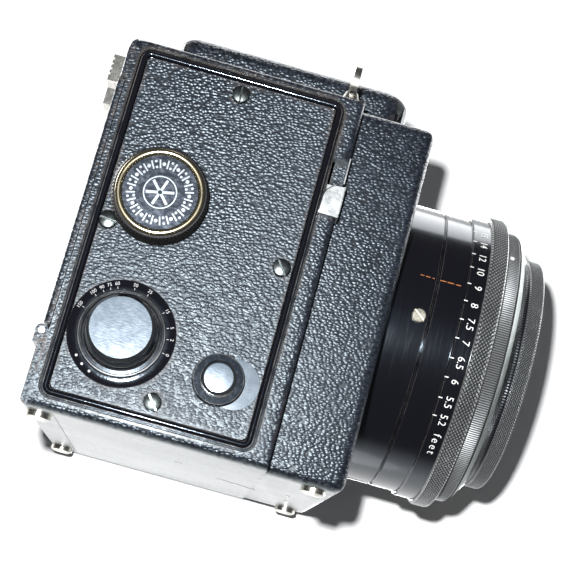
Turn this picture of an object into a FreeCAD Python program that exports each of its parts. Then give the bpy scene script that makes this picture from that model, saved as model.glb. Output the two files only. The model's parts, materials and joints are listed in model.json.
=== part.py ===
"""Single-lens reflex plate camera with a focal-plane shutter, as separate pieces, in millimetres.

+Z is up, the lens points along -Y and the control panel is on the -X side. The origin is on the
surface that the four feet stand on, midway between them.
"""
import FreeCAD, Part
import Sketcher
import math
import os
import re

Vector = FreeCAD.Vector
Rotation = FreeCAD.Rotation
Placement = FreeCAD.Placement

doc = FreeCAD.newDocument("reflex_camera")

# ---------------------------------------------------------------- driving dimensions
SIZES = [
    ("body_width", 100.0, "case, side to side"),
    ("body_height", 84.5, "case, bottom to top"),
    ("foot_height", 1.5, "stud feet under the case"),
    ("wall", 3.0, "case wall"),
    ("rear_face", 32.7, "rear edge of the case sides"),
    ("seam_face", 27.2, "front of the rear frame"),
    ("ridge_face", -19.6, "front of the rear case"),
    ("box_face", -37.0, "front of the mirror box"),
    ("box_inset", 6.0, "mirror box side, in from the case side"),
    ("lens_height", 44.6, "lens axis above the resting surface"),
    ("panel_back", -15.9, "front edge of the panel recess"),
    ("panel_rear", 31.6, "rear edge of the panel recess"),
    ("panel_low", 3.9, "lower edge of the panel recess"),
    ("panel_high", 84.7, "upper edge of the panel recess"),
    ("panel_thick", 1.2, "panel plate"),
    ("bead_width", 1.1, "raised bead round the panel"),
    ("shaft_gap", 0.06, "running clearance of a shaft, on the radius"),
    ("knob_axis", 18.0, "winding knob, rollers and gears, front to back"),
    ("knob_height", 51.7, "winding knob above the resting surface"),
    ("knob_radius", 10.5, "winding knob skirt"),
    ("dial_height", 21.3, "speed dial above the resting surface"),
    ("dial_radius", 11.6, "speed scale disc"),
    ("button_axis", -4.6, "release button, front to back"),
    ("button_height", 17.2, "release button above the resting surface"),
    ("gear_pitch", 0.5, "module of the winding train"),
    ("roller_radius", 3.5, "shutter rollers"),
    ("low_roller_height", 12.5, "lower shutter roller"),
    ("bulkhead_face", 32.0, "inner face of each bulkhead, from the middle"),
    ("bulkhead_thick", 2.0, "bulkhead plate"),
    ("mirror_pivot_height", 70.0, "mirror shaft above the resting surface"),
    ("mirror_length", 50.5, "mirror frame from its shaft to its free edge"),
    ("mirror_width", 60.0, "mirror frame, side to side"),
    ("barrel_radius", 31.0, "lens barrel"),
    ("flange_radius", 34.8, "lens flange and index ring"),
    ("flange_front", -46.8, "front of the lens flange"),
    ("index_front", -53.3, "front of the index ring"),
    ("scale_front", -57.8, "front of the engraved distance ring"),
    ("grip_front", -62.0, "front of the knurled focusing ring"),
    ("stop_front", -65.6, "front of the aperture ring"),
    ("cone_front", -68.6, "front of the barrel's cone"),
    ("rim_back", -69.7, "back of the front rim"),
    ("rim_front", -73.3, "front of the front rim"),
    ("scale_radius", 35.6, "engraved distance ring"),
    ("grip_radius", 36.7, "knurled focusing ring"),
    ("stop_radius", 34.2, "aperture ring"),
    ("rim_radius", 29.0, "front rim"),
    ("glass_radius", 25.8, "front lens element"),
    ("blade_inner", 25.3, "clear opening of the open iris"),
    ("blade_outer", 29.7, "iris blade, outer edge"),
    ("hood_width", 60.0, "folded hood, side to side"),
    ("hood_rear", 25.4, "rear end of the folded hood"),
    ("hood_front", -31.0, "front end of the folded hood"),
    ("hood_top", 97.6, "top of the folded hood above the resting surface"),
    ("hood_sheet", 1.2, "side of the hood lid"),
    ("screen_half", 28.6, "focusing screen, half its width"),
    ("gate_half", 28.5, "shutter gate window, half its width"),
    ("curtain_half", 29.5, "shutter curtain, half its width"),
    ("cap_radius", 7.1, "speed cap"),
    ("lip_radius", 9.3, "lip inside the speed scale"),
    ("plunger_radius", 3.7, "release button"),
    ("collar_radius", 5.7, "release button's collar"),
    ("crescent_radius", 5.5, "lock crescent beside the button"),
    ("stud_radius", 2.8, "stud foot"),
    ("cover_low", 18.2, "lower edge of the rear cover"),
    ("cover_high", 76.0, "upper edge of the rear cover"),
    ("hinge_height", 17.7, "rear cover's hinge pin"),
    ("hinge_axis", 34.3, "rear cover's hinge pin, front to back"),
    ("foot_spread", 39.0, "feet, from the middle to each side"),
    ("foot_reach", 30.8, "feet, from the middle to front and rear"),
]

sheet = doc.addObject("Spreadsheet::Sheet", "Sizes")
SIZE = {}
for row, (alias, value, meaning) in enumerate(SIZES, start=1):
    sheet.set("A%d" % row, alias)
    sheet.set("B%d" % row, str(value))
    sheet.set("C%d" % row, meaning)
    sheet.setAlias("B%d" % row, alias)
    SIZE[alias] = value
doc.recompute()

BLADES = 7
NODES = []


# ---------------------------------------------------------------- helpers
def bound(text):
    """An expression on the sheet: each alias in the text becomes Sizes.alias."""
    def name(word):
        return "Sizes." + word.group() if word.group() in SIZE else word.group()
    return re.sub(r"[a-z_]{2,}", name, str(text))


def place(solid, position):
    """Bind an object's place to three expressions."""
    for letter, value in zip("xyz", position):
        solid.setExpression("Placement.Base." + letter, bound(value))
    return solid


def box(name, x, y, z):
    """A block from three (low, high) pairs of expressions."""
    solid = doc.addObject("Part::Box", name)
    for side, (low, high) in zip(("Length", "Width", "Height"), (x, y, z)):
        solid.setExpression(side, bound("(%s) - (%s)" % (high, low)))
    return place(solid, (x[0], y[0], z[0]))


TURNS = {
    "x": Rotation(Vector(0, 1, 0), 90),
    "y": Rotation(Vector(1, 0, 0), -90),
    "z": Rotation(),
}


def rod_place(solid, axis, centre, low):
    """Stand a cylinder or cone along an axis; centre gives the other two coordinates."""
    solid.Placement = Placement(Vector(), TURNS[axis])
    position = list(centre)
    position.insert("xyz".index(axis), low)
    return place(solid, position)


def rod(name, axis, centre, span, radius, sweep=360):
    """A cylinder along an axis from span[0] to span[1]."""
    solid = doc.addObject("Part::Cylinder", name)
    solid.setExpression("Radius", bound(radius))
    solid.setExpression("Height", bound("(%s) - (%s)" % (span[1], span[0])))
    solid.Angle = sweep
    return rod_place(solid, axis, centre, span[0])


def cone(name, axis, centre, span, low_radius, high_radius):
    solid = doc.addObject("Part::Cone", name)
    solid.setExpression("Radius1", bound(low_radius))
    solid.setExpression("Radius2", bound(high_radius))
    solid.setExpression("Height", bound("(%s) - (%s)" % (span[1], span[0])))
    return rod_place(solid, axis, centre, span[0])


def ball(name, position, radius):
    solid = doc.addObject("Part::Sphere", name)
    solid.setExpression("Radius", bound(radius))
    return place(solid, position)


def join(name, solids):
    result = doc.addObject("Part::MultiFuse", name)
    result.Shapes = solids
    return result


def common(name, solids):
    result = doc.addObject("Part::MultiCommon", name)
    result.Shapes = solids
    return result


def cut(name, base, tools):
    result = doc.addObject("Part::Cut", name)
    result.Base = base
    result.Tool = tools[0] if len(tools) == 1 else join(name + "_tools", tools)
    return result


def group(name, solids):
    """Several separate solids that share one node."""
    result = doc.addObject("Part::Compound", name)
    result.Links = solids
    return result


def node(label, solid):
    """Mark an object as a sub-part: its Label is the node's and the file's name."""
    solid.Label = label
    NODES.append(solid)
    return solid


def origin_plane(body, role):
    return [item for item in body.Origin.OriginFeatures if item.Role == role][0]


def outline(body, role, points, name):
    """A closed sketch of straight sides whose corners are bound to the sheet."""
    sketch = body.newObject("Sketcher::SketchObject", name)
    sketch.AttachmentSupport = (origin_plane(body, role), [""])
    sketch.MapMode = "FlatFace"
    count = len(points)
    corners = []
    for index in range(count):
        angle = 2 * math.pi * index / count
        corners.append(Vector(math.cos(angle), math.sin(angle), 0))
    for index in range(count):
        sketch.addGeometry(Part.LineSegment(corners[index], corners[(index + 1) % count]), False)
    for index in range(count):
        sketch.addConstraint(Sketcher.Constraint("Coincident", index, 2, (index + 1) % count, 1))
    for index, (across, upward) in enumerate(points):
        for kind, text, start in (("DistanceX", across, corners[index].x),
                                  ("DistanceY", upward, corners[index].y)):
            number = sketch.addConstraint(Sketcher.Constraint(kind, -1, 1, index, 1, start))
            sketch.setExpression("Constraints[%d]" % number, bound(text))
    return sketch


def corners_of(across, upward):
    """The four corners of a rectangle from two (low, high) pairs."""
    return [(across[0], upward[0]), (across[1], upward[0]), (across[1], upward[1]), (across[0], upward[1])]


def turned(name, profile, axis):
    """A piece turned on a lathe. The profile is (radius, place along the axis); axis is x or y."""
    body = doc.addObject("PartDesign::Body", name)
    sketch = outline(body, "XY_Plane", profile, name + "_profile")
    spin = body.newObject("PartDesign::Revolution", name + "_turned")
    spin.Profile = sketch
    spin.ReferenceAxis = (sketch, ["V_Axis"])
    spin.Angle = 360
    sketch.Visibility = False
    if axis == "x":
        body.Placement = Placement(Vector(), Rotation(Vector(0, 0, 1), -90))
    return body


def on_lens_axis(body):
    return place(body, ("0", "0", "lens_height"))


def plate(name, y, z, thick, corner):
    """A flat plate across X with its four corners rounded, from x = 0 to x = thick."""
    body = doc.addObject("PartDesign::Body", name)
    sketch = outline(body, "YZ_Plane", corners_of(y, z), name + "_outline")
    pad = body.newObject("PartDesign::Pad", name + "_pad")
    pad.Profile = sketch
    pad.setExpression("Length", bound(thick))
    doc.recompute()
    edges = []
    for number, edge in enumerate(pad.Shape.Edges, start=1):
        if abs(edge.tangentAt(edge.FirstParameter).x) > 0.99:
            edges.append("Edge%d" % number)
    rounding = body.newObject("PartDesign::Fillet", name + "_corners")
    rounding.Base = (pad, edges)
    rounding.setExpression("Radius", bound(corner))
    body.Tip = rounding
    return body


LENS = ("0", "lens_height")
OUT = "-body_width / 2"
BASE = "foot_height"
TOP = "foot_height + body_height"


# ---------------------------------------------------------------- case
def make_cases():
    rear = box("rear_block", (OUT, "body_width / 2"), ("ridge_face", "rear_face"), (BASE, TOP))
    inside = ("wall - body_width / 2", "body_width / 2 - wall")
    recess = plate("recess_plate", ("panel_back", "panel_rear"), ("panel_low", "panel_high"),
                   "panel_thick + 1", "3")
    place(recess, (OUT + " - 1", "0", "0"))
    rear_tools = [
        box("rear_cavity", inside, ("ridge_face + wall", "rear_face + 1"),
            (BASE + " + wall", TOP + " - wall")),
        box("chamber_mouth", ("-bulkhead_face - bulkhead_thick", "bulkhead_face + bulkhead_thick"),
            ("ridge_face - 1", "ridge_face + wall + 1"), (BASE + " + wall", TOP + " - wall")),
        box("rail_notch", inside, ("seam_face", "rear_face + 1"), (BASE + " - 1", BASE + " + wall + 1")),
        recess,
        box("works_hatch", (OUT + " - 1", OUT + " + wall + 1"), ("-9", "25"), ("11", "77")),
        box("lever_slot_cut", (OUT + " - 1", OUT + " + wall + 2"), ("ridge_face - 1", "-15.4"), ("58.2", "71.4")),
        box("screen_well_rear", ("-29", "29"), ("ridge_face - 1", "16.5"), (TOP + " - wall - 1", TOP + " + 1")),
        rod("tripod_hole", "x", ("6.5", "lens_height"),
            ("body_width / 2 - wall - 1", "body_width / 2 + 1"), "6"),
    ]
    rear_tools += foot_holes("rear_hole", "foot_reach")
    for side, reach in (("near", "-45.8"), ("far", "45.8")):
        rear_tools.append(rod("lug_hole_" + side, "z", (reach, "-16.2"), (TOP + " - wall - 1", TOP + " + 1"), "1.2"))
    node("rear_case", cut("rear_case_cut", rear, rear_tools))

    side = "body_width / 2 - box_inset"
    front = box("box_block", ("-(%s)" % side, side), ("box_face", "ridge_face"), (BASE, TOP))
    front_tools = [
        box("box_cavity", ("wall - (%s)" % side, side + " - wall"), ("box_face + wall", "ridge_face + 1"),
            (BASE + " + wall", TOP + " - wall")),
        box("screen_well_front", ("-29", "29"), ("-30", "ridge_face + 1"), (TOP + " - wall - 1", TOP + " + 1")),
        rod("light_hole", "y", LENS, ("box_face - 1", "box_face + wall + 1"), "27"),
    ]
    front_tools += foot_holes("front_hole", "-foot_reach")
    node("mirror_box_case", cut("mirror_box_cut", front, front_tools))


def foot_holes(name, reach):
    holes = []
    for side, spread in (("near", "-foot_spread"), ("far", "foot_spread")):
        holes.append(rod("%s_%s" % (name, side), "z", (spread, reach), (BASE + " - 1", BASE + " + wall + 1"), "1.1"))
    return holes


def make_feet():
    studs = []
    for name, spread, reach in (("a", "-foot_spread", "-foot_reach"), ("b", "foot_spread", "-foot_reach"),
                                ("c", "-foot_spread", "foot_reach"), ("d", "foot_spread", "foot_reach")):
        head = common("foot_head_" + name, [
            rod("foot_disc_" + name, "z", (spread, reach), ("0", BASE), "stud_radius"),
            ball("foot_dome_" + name, (spread, reach, "4.6"), "5"),
        ])
        shank = rod("foot_shank_" + name, "z", (spread, reach), (BASE + " - 0.2", BASE + " + 2.5"), "1")
        studs.append(join("foot_stud_" + name, [head, shank]))
    node("base_feet", group("base_feet_group", studs))


def make_bulkheads():
    """The plates at each side of the mirror chamber carry every shaft."""
    for label, sign, holes in (
            ("control_bulkhead", -1, (("winding", "knob_axis", "knob_height", "1.5"),
                                      ("idler", "knob_axis", "knob_height + 13", "1.2"),
                                      ("speed", "knob_axis - 0.2", "dial_height", "1.5"))),
            ("left_bulkhead", 1, ())):
        inner = "%d * bulkhead_face" % sign
        outer = "%d * (bulkhead_face + bulkhead_thick)" % sign
        span = (outer, inner) if sign < 0 else (inner, outer)
        sheet_metal = box(label + "_sheet", span, ("box_face + wall + 0.2", "22.2"),
                          (BASE + " + wall + 0.1", TOP + " - wall - 0.1"))
        wide = (span[0] + " - 1", span[1] + " + 1")
        shared = (("mirror", "knob_axis", "mirror_pivot_height", "1.5"),
                  ("upper", "knob_axis", "knob_height + 25", "1.5"),
                  ("lower", "knob_axis", "low_roller_height", "1.5"))
        tools = []
        for name, across, upward, radius in shared + holes:
            tools.append(rod("%s_%s" % (label, name), "x", (across, upward), wide, radius + " + shaft_gap"))
        node(label, cut(label + "_cut", sheet_metal, tools))


# ---------------------------------------------------------------- control panel
PANEL_SCREWS = (("top", "7.5", "79.6"), ("low", "7.5", "9.0"), ("rear", "27.5", "44.4"), ("front", "-11.2", "44.4"))


def control_holes(name, span, winding, dial, button, screw):
    """Clearance holes for what passes through the panel."""
    holes = [
        rod(name + "_winding", "x", ("knob_axis", "knob_height"), span, winding),
        rod(name + "_dial", "x", ("knob_axis - 0.2", "dial_height"), span, dial),
        rod(name + "_button", "x", ("button_axis", "button_height"), span, button),
    ]
    for place_name, across, upward in PANEL_SCREWS:
        holes.append(rod("%s_screw_%s" % (name, place_name), "x", (across, upward), span, screw))
    return holes


def make_panel():
    gap = "0.1"
    y = ("panel_back + " + gap, "panel_rear - " + gap)
    z = ("panel_low + " + gap, "panel_high - " + gap)
    sheet_metal = plate("panel_sheet", y, z, "panel_thick - 0.4", "2.9")
    place(sheet_metal, (OUT + " + 0.4", "0", "0"))
    inset = "1.0"
    bead_y = ("panel_back + " + inset, "panel_rear - " + inset)
    bead_z = ("panel_low + " + inset, "panel_high - " + inset)
    bead_out = plate("bead_outer", bead_y, bead_z, "0.9", "2.4")
    place(bead_out, (OUT + " - 0.3", "0", "0"))
    hole_y = ("panel_back + %s + bead_width" % inset, "panel_rear - %s - bead_width" % inset)
    hole_z = ("panel_low + %s + bead_width" % inset, "panel_high - %s - bead_width" % inset)
    bead_in = plate("bead_inner", hole_y, hole_z, "1.9", "1.6")
    place(bead_in, (OUT + " - 0.8", "0", "0"))
    bead = cut("panel_bead_cut", bead_out, [bead_in])
    whole = join("panel_with_bead", [sheet_metal, bead])
    span = (OUT + " - 1", OUT + " + 3")
    node("side_panel", cut("side_panel_cut", whole, control_holes(
        "panel_hole", span, "1.5 + shaft_gap", "1.5 + shaft_gap", "4.1", "1.05")))

    skin_y = ("panel_back + %s + bead_width + 0.3" % inset, "panel_rear - %s - bead_width - 0.3" % inset)
    skin_z = ("panel_low + %s + bead_width + 0.3" % inset, "panel_high - %s - bead_width - 0.3" % inset)
    skin = plate("leather_sheet", skin_y, skin_z, "0.4", "1.4")
    place(skin, (OUT, "0", "0"))
    node("panel_leather", cut("panel_leather_cut", skin, control_holes(
        "leather_hole", span, "3.4", "dial_radius + 0.05", "4.3", "2.1")))

    screws = []
    for name, across, upward in PANEL_SCREWS:
        head = common("screw_head_" + name, [
            rod("screw_disc_" + name, "x", (across, upward), (OUT + " - 1", OUT + " + 0.4"), "1.9"),
            ball("screw_dome_" + name, (OUT + " + 1.9", across, upward), "2.6"),
        ])
        shank = rod("screw_shank_" + name, "x", (across, upward), (OUT + " + 0.3", OUT + " + 1.2"), "1")
        slot = box("screw_slot_" + name, (OUT + " - 1.2", OUT), (across + " - 2", across + " + 2"),
                   (upward + " - 0.25", upward + " + 0.25"))
        screws.append(cut("screw_" + name, join("screw_whole_" + name, [head, shank]), [slot]))
    node("panel_screws", group("panel_screws_group", screws))


def make_winding_knob():
    profile = [("0", OUT + " - 0.5"), ("knob_radius", OUT + " - 0.5"), ("knob_radius", OUT + " - 5.6"),
               ("knob_radius - 0.6", OUT + " - 6.2"), ("8.9", OUT + " - 6.2"), ("8.9", OUT + " - 5.6"),
               ("0", OUT + " - 5.6")]
    knob = turned("knob_skirt", profile, "x")
    node("winding_knob", place(knob, ("0", "knob_axis", "knob_height")))

    ring = doc.addObject("Part::Torus", "knob_ring_torus")
    ring.Radius1 = 8.85
    ring.Radius2 = 0.75
    ring.Placement = Placement(Vector(), TURNS["x"])
    place(ring, (OUT + " - 6.35", "knob_axis", "knob_height"))
    trim = rod("knob_ring_trim", "x", ("knob_axis", "knob_height"), (OUT + " - 6.2", OUT + " - 5"), "10")
    node("knob_bead_ring", cut("knob_ring_cut", ring, [trim]))

    node("knob_plate", rod("knob_plate_disc", "x", ("knob_axis", "knob_height"),
                           (OUT + " - 6.3", OUT + " - 5.6"), "8.05"))
    node("winding_shaft", rod("winding_shaft_rod", "x", ("knob_axis", "knob_height"),
                              (OUT + " - 0.5", "-bulkhead_face - 0.2"), "1.5"))


def make_speed_dial():
    at = ("knob_axis - 0.2", "dial_height")
    disc = rod("dial_disc", "x", at, (OUT + " - 0.3", OUT + " + 0.4"), "dial_radius")
    lip = rod("dial_lip", "x", at, (OUT + " - 0.8", OUT), "lip_radius")
    well = rod("dial_well", "x", at, (OUT + " - 1.5", OUT + " - 0.3"), "lip_radius - 0.4")
    bore = rod("dial_bore", "x", at, (OUT + " - 1.5", OUT + " + 1"), "1.5 + shaft_gap")
    node("speed_scale_disc", cut("dial_cut", join("dial_with_lip", [disc, lip]), [well, bore]))

    profile = [("0", OUT + " - 0.6"), ("7.6", OUT + " - 0.6"), ("7.6", OUT + " - 2.2"), ("cap_radius", OUT + " - 2.8"),
               ("cap_radius", OUT + " - 7.4"), ("cap_radius - 0.6", OUT + " - 8"), ("0", OUT + " - 8")]
    node("speed_cap", place(turned("speed_cap_body", profile, "x"), ("0",) + at))
    node("speed_shaft", rod("speed_shaft_rod", "x", at, (OUT + " - 0.6", "-bulkhead_face - 0.2"), "1.5"))


def make_release():
    at = ("button_axis", "button_height")
    flange = cone("collar_flange", "x", at, (OUT + " - 2", OUT + " - 0.7"), "collar_radius - 0.3", "collar_radius")
    neck = rod("collar_neck", "x", at, (OUT + " - 0.8", OUT + " + 1.2"), "4.1")
    bore = rod("collar_bore", "x", at, (OUT + " - 3", OUT + " + 2"), "plunger_radius + shaft_gap")
    node("release_collar", cut("collar_cut", join("collar_whole", [flange, neck]), [bore]))

    head = common("button_head", [
        rod("button_disc", "x", at, (OUT + " - 4.4", OUT + " + 1.4"), "plunger_radius"),
        ball("button_dome", (OUT + " + 10",) + at, "14.4"),
    ])
    stem = rod("button_stem", "x", at, (OUT + " + 1.3", OUT + " + 12"), "1.5")
    node("release_button", join("button_whole", [head, stem]))
    node("release_spring", coil_spring())

    crescent_at = ("button_axis - 3.4", "button_height")
    disc = rod("crescent_disc", "x", crescent_at, (OUT + " - 0.6", OUT + " - 0.1"), "crescent_radius")
    hole = rod("crescent_hole", "x", at, (OUT + " - 1", OUT + " + 1"), "4.1 + shaft_gap")
    node("lock_crescent", cut("crescent_cut", disc, [hole]))


def coil_spring():
    """The release button's return spring, an open coil round the stem."""
    wire_radius = 0.3
    coil_radius = 2.3
    start = -SIZE["body_width"] / 2 + 1.9
    end = -SIZE["bulkhead_face"] - SIZE["bulkhead_thick"] - 0.4
    turns = 7
    helix = Part.makeHelix((end - start) / turns, end - start, coil_radius)
    section = Part.Wire([Part.makeCircle(wire_radius, Vector(coil_radius, 0, 0), Vector(0, 1, 0))])
    coil = Part.Wire(helix.Edges).makePipeShell([section], True, True)
    spring = doc.addObject("Part::Feature", "release_coil")
    spring.Shape = coil
    spring.Placement = Placement(Vector(start, SIZE["button_axis"], SIZE["button_height"]), TURNS["x"])
    return spring


# ---------------------------------------------------------------- winding train
def gear_shape(teeth, tooth_on_line, thick, bore):
    """A spur gear along Z with involute flanks; a tooth, or else a gap, points along +X."""
    module = SIZE["gear_pitch"]
    pressure = math.radians(20)
    backlash = 0.12
    pitch_radius = module * teeth / 2
    base_radius = pitch_radius * math.cos(pressure)
    tip_radius = pitch_radius + 0.9 * module
    root_radius = pitch_radius - 1.25 * module
    involute = math.tan(pressure) - pressure
    half_tooth = math.pi / (2 * teeth) - backlash / (2 * pitch_radius)

    def half_angle(radius):
        if radius <= base_radius:
            return half_tooth + involute
        tilt = math.acos(base_radius / radius)
        return half_tooth + involute - (math.tan(tilt) - tilt)

    flank = [root_radius] + [base_radius + (tip_radius - base_radius) * step / 4 for step in range(5)]
    corners = []
    for tooth in range(teeth):
        middle = 2 * math.pi * (tooth + (0 if tooth_on_line else 0.5)) / teeth
        for side, radii in ((-1, flank), (1, flank[::-1])):
            for radius in radii:
                angle = middle + side * half_angle(radius)
                corners.append(Vector(radius * math.cos(angle), radius * math.sin(angle), 0))
    blank = Part.Face(Part.makePolygon(corners + corners[:1])).extrude(Vector(0, 0, thick))
    return blank.cut(Part.makeCylinder(bore, thick + 2, Vector(0, 0, -1)))


def make_winding_train():
    """Knob gear, idler and roller gear stand one above another and turn the upper roller."""
    gears = (("winding_gear", 24, True, 0, 1.5), ("idler_gear", 28, False, 13, 0),
             ("roller_gear", 20, True, 25, 1.5))
    for label, teeth, tooth_up, rise, bore in gears:
        gear = doc.addObject("Part::Feature", label + "_blank")
        if bore:
            gear.Shape = gear_shape(teeth, tooth_up, 4.0, bore)
        else:
            stub = Part.makeCylinder(1.2, 10.8)
            gear.Shape = gear_shape(teeth, tooth_up, 4.0, 1.0).fuse(stub).removeSplitter()
        centre = Vector(-43.0, SIZE["knob_axis"], SIZE["knob_height"] + rise)
        # local X is turned to +Z, so the tooth or gap named above lies on the line of centres
        gear.Placement = Placement(centre, TURNS["x"] * Rotation(Vector(0, 0, 1), 180))
        node(label, gear)

    inside = ("0.3 - bulkhead_face", "bulkhead_face - 0.3")
    plate_end = "bulkhead_face + bulkhead_thick - 0.2"
    for label, upward, shaft in (("upper_roller", "knob_height + 25", ("-43.2", plate_end)),
                                 ("lower_roller", "low_roller_height", ("-(%s)" % plate_end, plate_end))):
        drum = rod(label + "_drum", "x", ("knob_axis", upward), inside, "roller_radius")
        axle = rod(label + "_axle", "x", ("knob_axis", upward), shaft, "1.5")
        node(label, join(label + "_whole", [drum, axle]))


def make_shutter():
    back = "knob_axis + roller_radius + 0.3"
    cloth = box("curtain_cloth", ("-curtain_half", "curtain_half"), (back, back + " + 0.3"),
                ("low_roller_height", "knob_height + 25"))
    slit = box("curtain_slit", ("-28", "28"), (back + " - 1", back + " + 1"), ("46", "49"))
    node("shutter_curtain", cut("curtain_cut", cloth, [slit]))

    sheet_metal = box("gate_sheet", ("-bulkhead_face - bulkhead_thick", "bulkhead_face + bulkhead_thick"),
                      ("22.4", "23.4"), (BASE + " + wall + 0.1", TOP + " - wall - 0.1"))
    window = box("gate_window", ("-gate_half", "gate_half"), ("22", "24"), ("lens_height - 21", "lens_height + 21"))
    node("shutter_gate", cut("gate_cut", sheet_metal, [window]))


# ---------------------------------------------------------------- mirror
def make_mirror():
    """The mirror hangs from its shaft at 45 degrees; it is drawn level and then tilted."""
    tilt = Placement(Vector(), Rotation(Vector(1, 0, 0), 45))
    pivot = ("0", "knob_axis", "mirror_pivot_height")
    half = "mirror_width / 2"
    leaf = box("mirror_leaf", ("-" + half, half), ("-mirror_length", "-2"), ("-0.9", "0.9"))
    parts = [leaf]
    for side, low, high in (("near", "-" + half, "-22"), ("far", "22", half)):
        parts.append(rod("mirror_knuckle_" + side, "x", ("0", "0"), (low, high), "2.5"))
    bore = rod("mirror_bore", "x", ("0", "0"), ("-" + half + " - 1", half + " + 1"), "1.5")
    frame = cut("mirror_frame_cut", join("mirror_frame_whole", parts), [bore])
    frame.Placement = tilt
    node("mirror_frame", place(frame, pivot))

    silvered = box("mirror_sheet", ("-27", "27"), ("1 - mirror_length", "-5"), ("0.9", "2.4"))
    glass = group("mirror_glass_group", [silvered])
    glass.Placement = tilt
    node("mirror_glass", place(glass, pivot))
    end = "bulkhead_face + bulkhead_thick - 0.2"
    node("mirror_shaft", rod("mirror_shaft_rod", "x", ("knob_axis", "mirror_pivot_height"), ("-(%s)" % end, end), "1.5"))

    tab = box("lever_tab", (OUT + " - 0.2", OUT + " + 4"), ("ridge_face + 0.3", "-16"), ("58.6", "65.2"))
    arm = box("lever_arm", (OUT + " + 3.2", OUT + " + 4.6"), ("-16.5", "-6"), ("60", "63.8"))
    node("mirror_lever", join("lever_whole", [tab, arm]))


# ---------------------------------------------------------------- hood
def make_hood():
    half = "hood_width / 2"
    plate_x = ("-%s - 0.3" % half, half + " + 0.3")
    hinge = ("hood_front - 1.2", TOP + " + 2.2")
    base_plate = box("hood_plate", plate_x, ("hood_front - 0.2", "hood_rear + 0.2"), (TOP, TOP + " + 1.2"))
    rim_out = box("hood_rim_outer", ("-28", "28"), ("hood_front + 2.2", "hood_rear - 2.2"), (TOP, TOP + " + 7"))
    rim_in = box("hood_rim_inner", ("-27.2", "27.2"), ("hood_front + 3", "hood_rear - 3"),
                 (TOP + " + 1.2", TOP + " + 8"))
    window = box("hood_window", ("-27", "27"), ("-28", "15"), (TOP + " - 1", TOP + " + 8"))
    pieces = [base_plate, rim_out]
    for number, (low, high) in enumerate((("-20", "-14.2"), ("-6", "6"), ("14.2", "20"))):
        pieces.append(rod("hood_base_knuckle_%d" % number, "x", hinge, (low, high), "1.15"))
        pieces.append(box("hood_base_ear_%d" % number, (low, high), ("hood_front - 1.2", "hood_front"),
                          (TOP, TOP + " + 1.2")))
    bore = rod("hood_base_bore", "x", hinge, ("-21", "21"), "0.6")
    node("hood_base", cut("hood_base_cut", join("hood_base_whole", pieces), [rim_in, window, bore]))
    node("hood_hinge_pin", rod("hood_pin_rod", "x", hinge, ("-20", "20"), "0.6"))
    node("folded_hood_leather", box("folded_leather", ("-26.8", "26.8"), ("hood_front + 3.4", "hood_rear - 3.4"),
                                    (TOP + " + 1.3", TOP + " + 8.6")))
    node("focusing_screen", box("screen_glass", ("-screen_half", "screen_half"), ("-29.6", "16.1"), (TOP + " - 2.4", TOP)))

    shell = hood_shell(half)
    knuckles = []
    for number, (low, high) in enumerate((("-14", "-6.2"), ("6.2", "14"))):
        knuckles.append(rod("lid_knuckle_%d" % number, "x", hinge, (low, high), "1.15"))
        knuckles.append(box("lid_ear_%d" % number, (low, high), ("hood_front - 1.2", "hood_front + 0.5"),
                            (TOP + " + 2", TOP + " + 3.2")))
    lid_bore = rod("lid_bore", "x", hinge, ("-15", "15"), "0.6 + shaft_gap")
    node("hood_lid", cut("hood_lid_cut", join("hood_lid_whole", [shell] + knuckles), [lid_bore]))


def upright_at(alias):
    """A test for straight upright edges in the plane y = alias."""
    def test(edge):
        upright = edge.Curve.TypeId == "Part::GeomLine" and abs(edge.tangentAt(edge.FirstParameter).z) > 0.99
        return upright and abs(edge.CenterOfMass.y - SIZE[alias]) < 0.01
    return test


def fillet(body, name, base, test, radius):
    """Round the edges of the feature before that pass a test."""
    made = body.newObject("PartDesign::Fillet", name)
    made.Base = (base, ["Edge%d" % number for number, edge in enumerate(base.Shape.Edges, start=1) if test(edge)])
    made.Radius = radius
    doc.recompute()
    return made


def hood_shell(half):
    """A shallow lid with rounded corners and edges, open below."""
    body = doc.addObject("PartDesign::Body", "hood_lid_body")
    low = TOP + " + 1.5"
    sketch = outline(body, "XY_Plane", corners_of(("-" + half, half), ("hood_front", "hood_rear")), "lid_outline")
    pad = body.newObject("PartDesign::Pad", "lid_pad")
    pad.Profile = sketch
    pad.setExpression("Length", bound("hood_top - (%s)" % low))
    doc.recompute()
    front = fillet(body, "lid_front_corners", pad, upright_at("hood_front"), 7)
    rear = fillet(body, "lid_rear_corners", front, upright_at("hood_rear"), 5)
    highest = rear.Shape.BoundBox.ZMax
    crown = fillet(body, "lid_top_edges", rear, lambda edge: edge.BoundBox.ZMin > highest - 0.01, 3.4)
    inner = outline(body, "XY_Plane", corners_of(
        ("hood_sheet - " + half, half + " - hood_sheet"), ("hood_front + hood_sheet", "hood_rear - hood_sheet")),
        "lid_inside")
    hollow = body.newObject("PartDesign::Pocket", "lid_hollow")
    hollow.Profile = inner
    hollow.Reversed = True
    hollow.setExpression("Length", bound("hood_top - (%s) - 2.3" % low))
    body.Tip = hollow
    doc.recompute()
    place(body, ("0", "0", low))
    return body


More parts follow.
